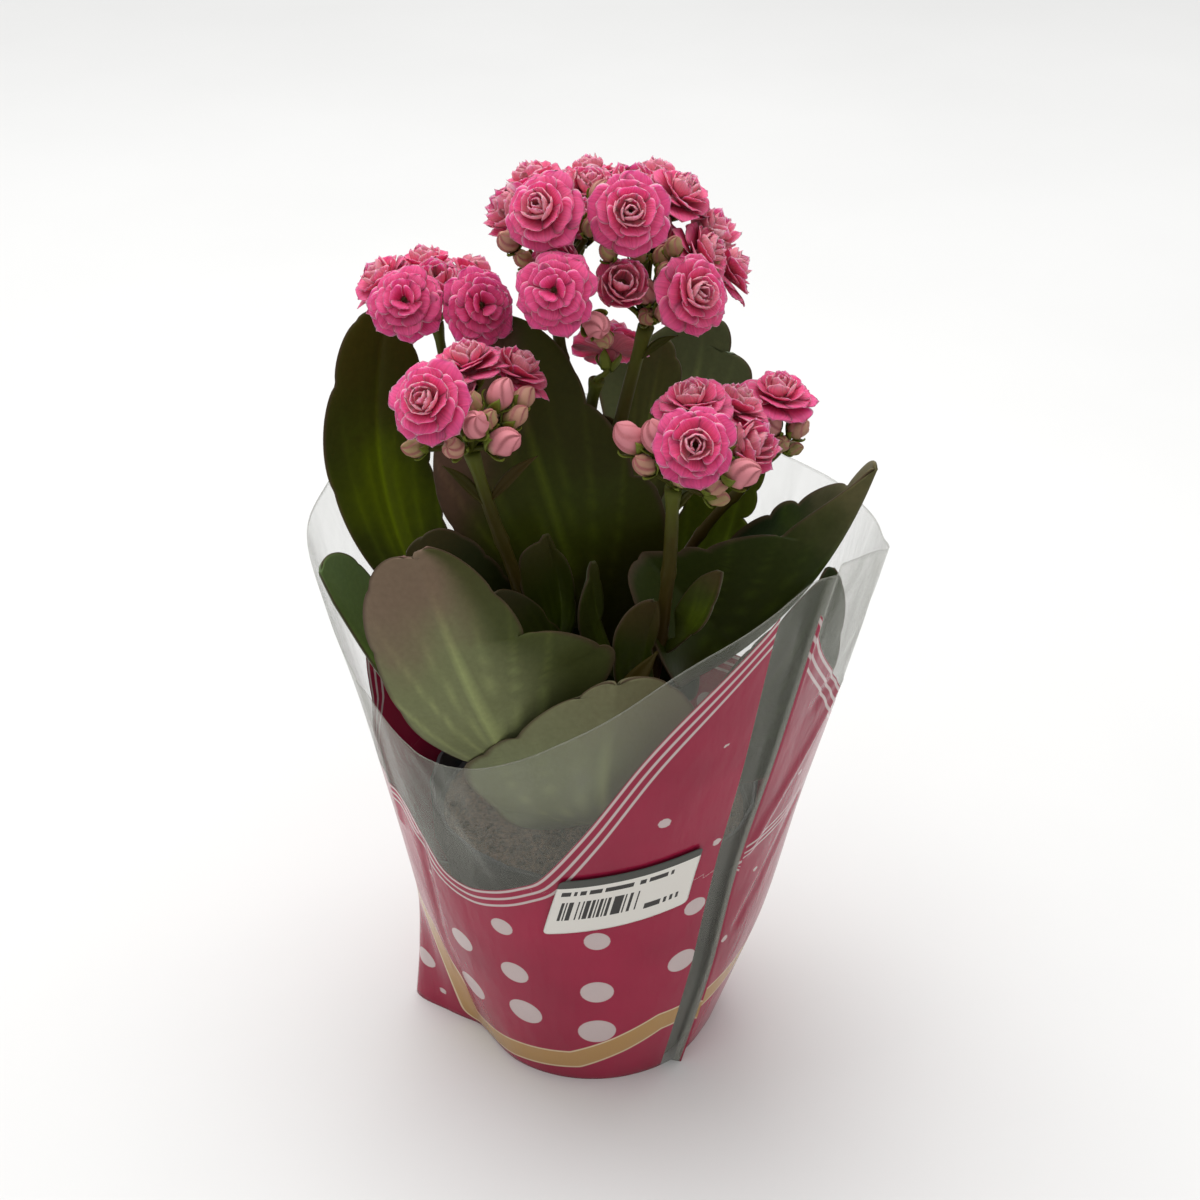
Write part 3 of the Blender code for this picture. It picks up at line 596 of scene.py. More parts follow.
@dataclass(frozen=True)
class LabelFinish:
    """Coated thermal paper: plain white with a dark head band, a row of short strokes and plain bars."""

    name: str = "thermal_label"
    paper: str = "#e6e2da"
    band: str = "#41423c"
    ink: str = "#2d2b28"
    roughness: float = 0.5
    # boxes of upright strokes as (pitch, share inked, left, right, low, high), in millimetres
    marks: tuple = (
        (0.45, 0.55, -19.0, 4.5, -6.5, 2.2), (0.9, 0.7, -19.0, 14.0, 5.3, 7.3),
        (0.9, 0.7, 7.0, 17.0, -7.5, -5.0)
    )
    head: tuple = (9.2, 14.0)

    def material(self) -> bpy.types.Material:
        """Build the material from the label's own across and up, in millimetres."""
        paint = Paint(self.name, ("across", "up"))
        across, up = paint.value["across"], paint.value["up"]

        def between(source: Socket, low: float, high: float) -> Socket:
            """1 where source lies between low and high."""
            over = paint.math("GREATER_THAN", source, low)
            return paint.math("MULTIPLY", over, paint.math("LESS_THAN", source, high))

        def strokes(pitch: float, share: float, left: float, right: float, low: float, high: float) -> Socket:
            """Upright strokes at a pitch inside a box."""
            cell = paint.math("FLOOR", paint.math("DIVIDE", across, pitch))
            chance = paint.add("ShaderNodeTexWhiteNoise", {"noise_dimensions": "1D"}, {"W": cell})
            inked = paint.math("LESS_THAN", chance, share)
            inside = paint.math("MULTIPLY", inked, between(across, left, right))
            return paint.math("MULTIPLY", inside, between(up, low, high))

        inked = strokes(*self.marks[0])
        for box in self.marks[1:]:
            inked = paint.math("MAXIMUM", inked, strokes(*box))
        sheet = paint.mix(inked, self.paper, self.ink)
        return paint.coat(paint.mix(between(up, *self.head), sheet, self.band), self.roughness)


@dataclass(frozen=True)
class GroundFinish:
    """Grainy matt matter: peat fibres, moulded pot plastic or the floor, told apart by colour and grain."""

    name: str
    dark: str
    light: str
    grain: float  # grains in a metre
    depth: float  # height of the grain in metres
    roughness: float

    def material(self) -> bpy.types.Material:
        """Build the material: two colours mixed by a noise that also gives the relief."""
        paint = Paint(self.name)
        grit = paint.noise(self.grain, 5.0)
        paint.bump(grit, 0.6, self.depth)
        return paint.coat(paint.mix(paint.ramp(grit, 0.35, 0.7), self.dark, self.light), self.roughness)


@dataclass
class FilmSleeve:
    """Tapered sleeve of printed film: a tube with a swept rim, a corner off the pot and a seam."""

    film: float = 0.15
    seam_heading: float = 46.0
    seam_half_angle: float = 3.0
    seam_fin: float = 3.0
    half_wall: float = 0.3  # the film lies in the middle of the CAD's wall
    columns: int = 400
    rows: int = 120
    headings: tuple = (-180, -140, -108, -97, -86, -74, -40, -10, 20, 46, 70, 92, 135, 180)
    heights: tuple = (0, 22, 50, 95, 140, 190)
    radii: tuple = (
        (41, 43, 49, 61.5, 49, 39, 37.0, 36.0, 36.0, 37, 38, 41, 42, 41),
        (45, 47, 52, 59.5, 52, 46, 43.0, 42.0, 42.0, 43, 45, 48, 47, 45),
        (51, 53, 56, 59.0, 57, 54, 50, 48.5, 48.5, 50, 53, 57.0, 54, 51),
        (59, 60, 63, 65.5, 65, 63.5, 60, 57.5, 57.5, 59, 63, 66.5, 64, 59),
        (68, 69, 72, 75, 74, 73, 71.5, 70, 69, 71, 74.5, 77.0, 75, 68),
        (80, 82, 85, 87.0, 87, 86, 84, 82, 81, 83.5, 86, 87.5, 86, 80),
    )
    rim_headings: tuple = (
        -180, -140, -97, -75, -58, -42, -30, -16, -6, 6, 20, 34, 46, 54, 62, 70, 80, 92, 135, 180,
    )
    rim_heights: tuple = (
        192, 196, 185, 166, 152, 142, 144, 153, 162, 173, 188, 199, 208, 207, 203, 197, 190, 184, 182, 192,
    )
    # middle of the three white lines, as (heading, height)
    swag: tuple = (
        (-180, 118), (-160, 130), (-140, 142), (-120, 150), (-110, 146), (-103, 132), (-100, 118),
        (-92, 111), (-80, 109), (-63, 107), (-58, 97), (-53, 87), (-42, 83.3), (-31, 86), (-21, 91),
        (-12.6, 97.5), (-0.3, 119), (13.4, 149), (25, 171.5), (36, 190), (41, 197), (46, 184), (51, 172),
        (64, 152), (71, 140), (90, 122), (110, 112), (138, 107), (160, 110), (180, 118),
    )
    # creases as (start, end, how far out, half width), with places as (heading, height)
    creases: tuple = (
        ((-74, 8), (-58, 96), -0.9, 2.2),
        ((-70, 96), (-62, 160), 0.8, 2.5),
        ((52, 96), (70, 150), 0.9, 2.2),
        ((58, 60), (76, 100), -0.7, 2.5),
        ((60, 150), (80, 182), -0.8, 3.0),
        ((-30, 100), (-44, 140), 0.5, 3.0),
        ((150, 40), (120, 90), -0.7, 2.5),
        ((-150, 60), (-135, 150), 0.7, 3.0),
        ((110, 110), (96, 170), -0.7, 2.5),
    )
    # left edge of the clear strip by the seam, as heights and headings
    strip_left: tuple = ((0, 50, 90, 140, 190), (36.5, 37.8, 38.4, 37.6, 36.6))
    second: tuple = ((47, 94), (54, 97.4), (62, 99.5), (75, 103), (88, 107), (95, 112), (101, 117))
    band: tuple = (
        (-180, 14), (-165, 14.6), (-150, 18), (-135, 24.5), (-120, 33), (-108, 43), (-97, 51.5),
        (-88, 51), (-80, 44), (-77.5, 24), (-75.5, 6), (-66, 5), (-52, 6.5), (-37.5, 8.4), (-8.8, 11.3),
        (11.6, 19.4), (28.9, 27), (50, 27.5), (62, 30), (80, 32.5), (95, 32.5), (110, 30), (130, 25),
        (150, 18.5), (165, 15), (180, 14),
    )
    # printed dots as (heading, height, radius), growing towards the foot
    dots: tuple = (
        (1.2, 72.7, 4.1), (1.3, 48.1, 5.3), (1.4, 27.6, 6.1), (-31, 73.4, 3.7), (-29.7, 52.1, 4.8),
        (-28.7, 32.7, 5.8), (-52, 56.2, 4.6), (-57, 31, 5.6), (33, 56.1, 5.0), (34, 80.6, 3.8),
        (18.4, 124.3, 2.1), (36.3, 108.4, 1.6), (59, 82.6, 1.1), (52.3, 56.1, 1.5), (-92, 19.3, 3.6),
        (-87, 8.3, 1.2), (-60, 80, 1.4), (31, 152, 1.0), (66, 118, 1.2),
    )

    def radius(self, heading: Array, height: Array) -> Array:
        """Inner radius of the film: smooth through its stations across, then through its stations up."""
        flat, up = np.ravel(heading), np.minimum(np.ravel(height), 210.0)
        around = np.stack([smooth_between(self.headings, row, flat) for row in self.radii])
        fin = np.maximum(0.0, 1 - np.abs(flat - self.seam_heading) / self.seam_half_angle) * self.seam_fin
        return (smooth_between(self.heights, around, up) + fin).reshape(np.shape(heading))

    def crease(self, heading: Array, height: Array, reach: Array) -> Array:
        """How far the film stands out or in: soft folds that grow to the rim, and a few sharp creases."""
        s = np.radians(heading) * 60  # millimetres round the film at its usual radius
        soft = 0.35 * np.sin(s / 7.0 + 0.02 * height) + 0.25 * np.sin(s / 3.9 - 0.035 * height + 1.0)
        out = soft * smooth_step(60, 190, height)
        for start, end, depth, width in self.creases:
            apart = self.distance(heading, height, reach, np.array([start, end], float))
            out = out + depth * np.exp(-((apart / width) ** 2))
        return out * smooth_step(0, 30, height)

    def distance(self, heading: Array, height: Array, reach: Array, line: Array) -> Array:
        """Distance over the film, in millimetres, from each point to the nearest stretch of a line."""
        k = np.radians(1.0) * np.ravel(reach)[:, None]
        x, z = np.ravel(heading)[:, None], np.ravel(height)[:, None]
        a, b = line[None, :-1], line[None, 1:]
        along_x, along_z = (b[..., 0] - a[..., 0]) * k, b[..., 1] - a[..., 1]
        off_x, off_z = (x - a[..., 0]) * k, z - a[..., 1]
        length = np.maximum(along_x**2 + along_z**2, 1e-9)
        t = np.clip((off_x * along_x + off_z * along_z) / length, 0, 1)
        near = np.hypot(off_x - t * along_x, off_z - t * along_z).min(axis=1)
        return near.reshape(np.shape(heading))

    def back_dots(self) -> list[tuple[float, float, float]]:
        """Dots of the back, in staggered rows as on the front, clear of the lines above them."""
        rows = ((52, 6.0), (73, 5.1), (91, 4.0))
        return [
            (heading + (13.5 if k % 2 else 0.0), height, size)
            for k, (height, size) in enumerate(rows)
            for heading in (*range(88, 180, 27), *range(-171, -125, 27))
        ]

    def build(self) -> bpy.types.Object:
        """Lay the film as a grid of heading by height, with what is printed on it as distances."""
        heading = np.linspace(-180, 180, self.columns, endpoint=False)[None, :].repeat(self.rows, axis=0)
        rim = smooth_between(self.rim_headings, self.rim_heights, heading[0])
        height = np.linspace(0, 1, self.rows)[:, None] * rim[None]
        reach = self.radius(heading, height) + self.half_wall
        line = np.array(self.swag, float)
        fine = np.arange(-180, 180.1, 2.0)
        swag_height = smooth_between(line[:, 0], line[:, 1], fine)
        swag_line = np.stack([fine, swag_height], axis=1)
        above = height > np.interp(heading, fine, swag_height)
        swag = self.distance(heading, height, reach, swag_line) * np.where(above, 1, -1)
        second = self.distance(heading, height, reach, np.array(self.second, float))
        toward = np.interp(heading, *np.array(self.second, float).T)
        second = second * np.where(height > toward, 1, -1)
        band = self.distance(heading, height, reach, np.array(self.band, float))
        spots = [
            np.hypot(np.radians(heading - h) * reach, (height - z) * 1.04) - size
            for h, z, size in (*self.dots, *self.back_dots())
        ]
        left, right = np.interp(height, *self.strip_left), self.seam_heading - 0.6
        strip = np.radians(np.abs(heading - (left + right) / 2)) * reach
        strip = strip - np.radians(right - left) * reach / 2
        values = {
            "swag": swag,
            "second": second,
            "dots": np.min(spots, axis=0),
            "band": band,
            "strip": strip,
            "rim": 0.3 * smooth_step(1.0, 0.4, rim[None] - height),
            "seam": 0.42 * smooth_step(1.9, 1.2, np.abs(np.radians(heading - self.seam_heading) * reach)),
        }
        out = reach + self.crease(heading, height, reach)
        outer = standing(heading, out, height)
        inner = outer - heading_vector(heading) * self.film
        index = np.arange(outer[..., 0].size).reshape(self.rows, self.columns)
        under = index + index.size
        faces = [grid_faces(self.rows, self.columns, index, wrap=True)]
        faces.append(grid_faces(self.rows, self.columns, under, wrap=True)[:, ::-1])
        for row, turn in ((0, 1), (-1, -1)):
            low, top = under[row], index[row]
            edge = np.stack([low, np.roll(low, -1), np.roll(top, -1), top], axis=-1)
            faces.append(edge[:, ::turn])
        shapes = Shapes()
        twice = {title: np.tile(field_values.ravel(), 2) for title, field_values in values.items()}
        both = np.concatenate([outer.reshape(-1, 3), inner.reshape(-1, 3)])
        shapes.add(both, np.concatenate(faces), **twice)
        return shapes.piece("film_sleeve", FilmFinish().material(), ("sleeve",))


@dataclass
class PriceLabel:
    """Sticker on the front of the film: a thin sheet with round corners that follows the film."""

    sleeve: FilmSleeve
    # corners as (heading, height), from the top left round to the bottom left
    corners: tuple = ((-9.4, 101.1), (31.4, 109.5), (29.8, 85.1), (-16.4, 75.3))
    width: float = 42.0
    tall: float = 26.0
    corner: float = 2.0
    stand_off: float = 0.9
    thickness: float = 0.18
    columns: int = 64
    rows: int = 40

    def build(self) -> bpy.types.Object:
        """Lay a grid in the label's own plane, round its corners and spread it on the film."""
        x, y = np.meshgrid(np.linspace(-0.5, 0.5, self.columns), np.linspace(-0.5, 0.5, self.rows))
        x, y = x * self.width, y * self.tall
        inner_x, inner_y = self.width / 2 - self.corner, self.tall / 2 - self.corner
        past_x, past_y = np.maximum(np.abs(x) - inner_x, 0), np.maximum(np.abs(y) - inner_y, 0)
        past = np.maximum(np.hypot(past_x, past_y), 1e-9)
        pull = np.minimum(1.0, self.corner / past)
        x = np.where(past_x > 0, np.sign(x) * (inner_x + past_x * pull), x)
        y = np.where(past_y > 0, np.sign(y) * (inner_y + past_y * pull), y)
        s, t = (x / self.width + 0.5)[..., None], (y / self.tall + 0.5)[..., None]
        top_left, top_right, low_right, low_left = (np.array(c) for c in self.corners)
        spread = t * ((1 - s) * top_left + s * top_right) + (1 - t) * ((1 - s) * low_left + s * low_right)
        heading, up = spread[..., 0], spread[..., 1]
        reach = self.sleeve.radius(heading, up) + self.sleeve.half_wall
        reach = reach + self.sleeve.crease(heading, up, reach) + self.stand_off
        points, quads, _ = lens(standing(heading, reach, up), np.full(x.shape, self.thickness))
        shapes = Shapes()
        shapes.add(points, quads, across=both_faces(x), up=both_faces(y))
        return shapes.piece("price_sticker", LabelFinish().material(), ("price_label",))


@dataclass
class PottingMix:
    """Damp peat in the pot: a low lumpy mound with loose crumbs."""

    radius: float = 48.2
    top: float = 85.0
    mound: float = 4.0
    crumbs: int = 420
    seed: int = 5

    def height(self, r: Array, a: Array) -> Array:
        """Height of the mound: a low dome with lumps from a few crossed waves."""
        x, y = r * np.cos(a), r * np.sin(a)
        dome = self.mound * (1 - (r / self.radius) ** 2)
        lumps = np.sin(x * 0.9 + 1.3 * np.sin(y * 0.5)) + np.sin(y * 1.1 + 1.7 * np.sin(x * 0.37))
        return self.top + dome + 0.45 * lumps + 0.3 * np.sin(x * 2.3 + y * 1.9)

    def build(self) -> bpy.types.Object:
        """Turn the surface on a polar grid, close it below and strew the crumbs."""
        rows, sides = 40, 120
        r, a = np.meshgrid(np.linspace(self.radius, 0.3, rows), full_turn(sides), indexing="ij")
        shapes = Shapes()
        face = np.stack([r * np.cos(a), r * np.sin(a), self.height(r, a)], axis=-1)
        foot_r = np.array([0.3, 32.0, self.radius - 0.6])[:, None] * np.ones(sides)
        foot_z = np.array([5.0, 5.0, 80.0])[:, None] * np.ones(sides)
        foot = np.stack([foot_r * np.cos(a[:1]), foot_r * np.sin(a[:1]), foot_z], axis=-1)
        whole = np.concatenate([foot, face])
        shapes.add(whole.reshape(-1, 3), grid_faces(rows + 3, sides, wrap=True))
        self.strew(shapes)
        finish = GroundFinish("damp_peat", "#33261a", "#6e5643", 900.0, 0.0008, 0.95)
        return shapes.piece("peat_mound", finish.material(), ("potting_mix",))

    def strew(self, shapes: Shapes) -> None:
        """Add the crumbs: small rough balls of many sizes, sunk a little into the mound."""
        rng = np.random.default_rng(self.seed)
        levels, around = 5, 6
        t, p = np.meshgrid(np.linspace(0.25, math.pi - 0.25, levels), full_turn(around), indexing="ij")
        ball = np.stack([np.sin(t) * np.cos(p), np.sin(t) * np.sin(p), np.cos(t)], axis=-1)
        for _ in range(self.crumbs):
            size = rng.uniform(0.5, 1.5)
            at_r, at_a = self.radius * 0.97 * math.sqrt(rng.uniform()), rng.uniform(0, math.tau)
            at = np.array([at_r * math.cos(at_a), at_r * math.sin(at_a), 0])
            at[2] = self.height(np.array(at_r), np.array(at_a)) + 0.2 * size
            lump = ball * (size * rng.uniform(0.6, 1.2, 3)) * rng.uniform(0.8, 1.15, (levels, around, 1)) + at
            ends = np.concatenate([lump.reshape(-1, 3), lump[:1].mean(axis=1), lump[-1:].mean(axis=1)])
            shapes.add(ends, grid_faces(levels, around, wrap=True)[:, ::-1], caps(levels, around))


@dataclass(frozen=True)
class Shoot:
    """Stalk as a smooth line through its points, with its radius at both ends."""

    points: tuple
    foot_r: float
    top_r: float

    def path(self, shares: Array) -> Array:
        """Points of the line at shares of its height: x and y are smooth curves of z."""
        p = np.array(self.points, float)
        z = p[0, 2] + shares * (p[-1, 2] - p[0, 2])
        x, y = (smooth_between(p[:, 2], p[:, k], z) for k in (0, 1))
        return np.stack([x, y, z], axis=-1)

    def radius(self, shares: Array | float) -> Array | float:
        """Radius at shares of its height."""
        return self.foot_r + (self.top_r - self.foot_r) * shares


@dataclass(frozen=True)
class BloomPlace:
    """Where a double bloom sits: the middle of its dome, the way it faces, its form and how faded it is."""

    at: tuple
    faces: tuple
    form: BloomForm = BloomForm.ROSE
    fade: float = 0.3


@dataclass(frozen=True)
class Head:
    """Flower head: the stem and shoot that carry it, its blooms, and its buds as (place, length)."""

    stem: StemName
    shoot: int
    blooms: tuple
    buds: tuple
    fillers: tuple = ()  # blooms tucked behind the others, which stand for no CAD node


@dataclass(frozen=True)
class PetalRing:
    """Ring of equal petals: how many, half their width, their midline as (radius, height), their cup."""

    count: int
    half_width: float
    curve: tuple
    cup: float


STEMS: dict[StemName, tuple[Shoot, ...]] = {
    StemName.LEFT: (
        Shoot(
            ((-14, -4, 72), (-15, -7, 110), (-17, -12, 150), (-22, -23, 182), (-28, -31, 208),
            (-33, -36, 231)),
            3.6,
            1.9,
        ),
        Shoot(((-16, -9, 134), (-26, 10, 166), (-37, 20, 206), (-44, 24, 230), (-46, 25, 242)), 2.4, 1.6),
    ),
    StemName.BACK: (
        Shoot(((2, 14, 72), (3, 13, 120), (4, 12, 170), (6, 10, 205), (10, 7, 228), (15, 2, 251)), 3.6, 2.0),
        Shoot(((3, 12, 140), (-2, 14, 190), (-7, 15, 225), (-10, 15, 243), (-9, 9, 259)), 2.6, 1.9),
        Shoot(((3.5, 12, 150), (1, 17, 190), (-1, 16, 215), (1, 13, 229)), 2.6, 2.0),
    ),
    StemName.RIGHT: (
        Shoot(
            ((14, -6, 72), (15, -10, 110), (17, -17, 140), (19.5, -29, 168), (21.5, -35, 195),
            (22, -40, 222)),
            3.6,
            2.0,
        ),
        Shoot(
            ((17, -13, 132), (20, 2, 152), (26, 6, 170), (35, 4, 187), (46, 0, 203), (53, 0, 213)), 2.2, 1.6
        ),
    ),
}

FLAT, HALF = BloomForm.FLAT, BloomForm.HALF
HEADS: dict[str, Head] = {
    "top_left": Head(
        StemName.BACK,
        1,
        (
            BloomPlace((-13.5, -12, 291), (-0.3, -0.7, 0.65)),
            BloomPlace((-17, 20, 287), (-0.4, 0.1, 0.9), fade=0.8),
            BloomPlace((-1, 30, 285), (-0.1, 0.3, 0.95), fade=1.0),
            BloomPlace((-23.5, 6, 284), (-0.85, -0.2, 0.5), HALF, 0.9),
            BloomPlace((-10, -27, 274), (-0.1, -0.85, 0.5), FLAT, 0.1),
            BloomPlace((-10, -9.5, 274), (-0.1, -0.65, 0.75), HALF, 0.9),
        ),
        (
            ((-23, -7, 280), 8), ((-19, -7, 275), 7), ((1, -22, 262), 10), ((3, -20, 257), 7),
            ((-5, -3, 288), 8), ((-0.4, -8, 284.5), 7), ((2, 6, 289), 8), ((-8.3, -4, 279), 6.5),
        ),
        fillers=(
            BloomPlace((-3, 6, 281), (0.0, -0.35, 0.95), HALF, 0.9),
            BloomPlace((-1, 17, 286), (0.1, -0.3, 0.95), fade=1.0),
            BloomPlace((-22, 20, 279), (-0.6, -0.3, 0.75), HALF, 0.7),
        ),
    ),
    "left": Head(
        StemName.LEFT,
        1,
        (
            BloomPlace((-53, 6, 257), (-0.1, -0.8, 0.6), FLAT, 0.2),
            BloomPlace((-61, 24, 256), (-0.6, -0.1, 0.8), fade=0.4),
            BloomPlace((-49, 32, 257), (-0.1, 0.2, 1.0), fade=0.7),
            BloomPlace((-36, 37, 252), (0.4, 0.4, 0.8), fade=0.8),
            BloomPlace((-32, 7, 255), (0.35, -0.75, 0.5), FLAT, 0.1),
        ),
        (),
        fillers=(BloomPlace((-45, 20, 257), (0.1, -0.4, 0.9), HALF, 0.5),),
    ),
    "front_left": Head(
        StemName.LEFT,
        0,
        (
            BloomPlace((-43.5, -46, 251), (-0.35, -0.75, 0.6), fade=0.1),
            BloomPlace((-34, -22, 251), (-0.1, 0.1, 1.0), fade=0.7),
            BloomPlace((-21, -14, 245), (0.5, 0.1, 0.85), fade=0.8),
        ),
        (
            ((-25, -32, 246), 10), ((-19, -28, 243), 8), ((-21, -33, 240), 8), ((-31, -46, 244), 10),
            ((-37, -46, 237), 8), ((-24, -40, 236), 11), ((-48, -42, 235), 7), ((-32, -37, 246), 7),
            ((-28, -39, 242), 7),
        ),
        fillers=(BloomPlace((-39, -31, 247), (-0.2, -0.2, 1.0), HALF, 0.4),),
    ),
    "front_right": Head(
        StemName.RIGHT,
        0,
        (
            BloomPlace((27, -52, 241), (0.0, -0.85, 0.5), fade=0.0),
            BloomPlace((27, -28, 242), (-0.15, -0.1, 1.0), fade=0.5),
            BloomPlace((40, -16, 235), (0.4, 0.1, 0.9), fade=0.8),
            BloomPlace((44, -36, 233), (0.75, -0.4, 0.5), HALF, 0.6),
        ),
        (
            ((10, -40, 237), 11), ((17, -43, 239), 11), ((14, -44, 231), 8), ((40, -47, 230), 11),
            ((24, -44, 227), 7), ((33, -44, 225), 8), ((34, -40, 219), 7),
        ),
    ),
    "right": Head(
        StemName.RIGHT,
        1,
        (BloomPlace((53.5, 2, 230), (0.1, -0.1, 1.0), fade=0.2),),
        (((51, -4, 223), 9), ((46, 2, 225), 8), ((59, -4, 222), 8), ((54, -6, 218), 7), ((58, -1, 214), 6)),
    ),
    "top_right": Head(
        StemName.BACK,
        0,
        (
            BloomPlace((10, -12, 290), (0.05, -0.85, 0.5), fade=0.2),
            BloomPlace((18, 33, 283), (0.15, 0.3, 0.95), fade=0.9),
            BloomPlace((24.5, 13, 286), (0.5, -0.1, 0.85), fade=0.5),
            BloomPlace((31, 5, 272), (0.8, -0.2, 0.55), fade=0.7),
            BloomPlace((39, 20, 261), (0.85, 0.1, 0.5), fade=0.9),
            BloomPlace((28, -15, 268), (0.45, -0.75, 0.45), fade=0.4),
            BloomPlace((8, -15, 271), (0.1, -0.75, 0.65), HALF, 0.9),
        ),
        (
            ((15, -6, 265), 9), ((15, -7, 258), 7), ((20, -11, 261), 8), ((22, -6, 278), 7),
            ((19, -5, 275), 7), ((29, 2, 269), 7), ((32.6, 5, 267), 7), ((12.5, -4, 275), 6.5),
            ((4, -12, 279), 6.5), ((20, -9, 272), 7),
        ),
        fillers=(
            BloomPlace((16, 5, 279), (0.1, -0.4, 0.9), HALF, 0.8),
            BloomPlace((34, 14, 275), (0.6, -0.1, 0.8), HALF, 0.7),
            BloomPlace((11, 18, 287), (0.0, -0.2, 1.0), HALF, 0.8),
        ),
    ),
    "top_low": Head(StemName.BACK, 2, (BloomPlace((5, 18, 239), (0.1, 0.75, 0.65), fade=0.6),), ()),
}

# thin bracts of each stem as (foot, tip, width, how brown)
BRACTS: dict[StemName, tuple] = {
    StemName.LEFT: (
        ((-29, -33, 213.5), (-15.1, -31, 227), 3.4, 0.7),
        ((-29.5, -33.5, 212.5), (-41.5, -32, 224.5), 3.2, 0.4),
    ),
    StemName.BACK: (((7.0, 10, 209), (2.5, 11, 219), 5.0, 0.8), ((13.5, 3.5, 240), (24, -2, 250), 2.6, 0.1)),
    StemName.RIGHT: (
        ((4.6, -45, 147), (18.5, -40, 169), 6.5, 0.6),
        ((21.8, -38, 212), (29, -40, 222), 2.4, 0.2),
    ),
}

OPEN_PETALS = (
    PetalRing(7, 5.4, ((1.6, 3.0), (7.8, 5.6), (12.0, 3.6)), 0.0),
    PetalRing(6, 5.0, ((1.4, 4.2), (6.4, 7.6), (9.6, 7.0)), 0.08),
    PetalRing(5, 4.2, ((1.3, 5.0), (5.2, 8.2), (7.2, 9.6)), 0.16),
)
ROLLED_PETALS = (
    PetalRing(4, 3.7, ((1.1, 5.4), (4.7, 8.4), (4.1, 12.0)), 0.36),
    PetalRing(3, 3.1, ((0.8, 5.8), (3.5, 9.2), (2.2, 12.9)), 0.5),
    PetalRing(2, 2.2, ((0.4, 6.2), (2.0, 9.6), (0.9, 13.1)), 0.8),
)
# petals of a bloom that lies open to its small eye, outermost first
POMPON_PETALS = (
    PetalRing(8, 4.6, ((1.6, 3.0), (7.8, 5.2), (11.9, 3.0)), -0.05),
    PetalRing(7, 4.4, ((1.3, 4.8), (7.0, 7.6), (10.3, 5.8)), -0.03),
    PetalRing(6, 4.0, ((1.1, 6.2), (5.6, 9.0), (8.2, 8.0)), 0.0),
    PetalRing(5, 3.5, ((0.9, 7.4), (4.0, 10.2), (5.9, 9.9)), 0.1),
    PetalRing(3, 2.6, ((0.8, 8.2), (2.4, 11.4), (3.6, 11.2)), 0.2),
)
CUPPED_PETALS = (
    PetalRing(5, 4.6, ((1.6, 2.8), (6.2, 3.4), (7.8, 8.4)), 0.18),
    PetalRing(5, 4.2, ((1.5, 3.3), (5.6, 4.8), (6.1, 10.8)), 0.25),
    PetalRing(4, 3.6, ((1.2, 3.8), (4.8, 6.2), (4.2, 12.2)), 0.4),
    PetalRing(3, 2.8, ((0.9, 4.3), (3.6, 7.4), (1.9, 12.8)), 0.65),
)


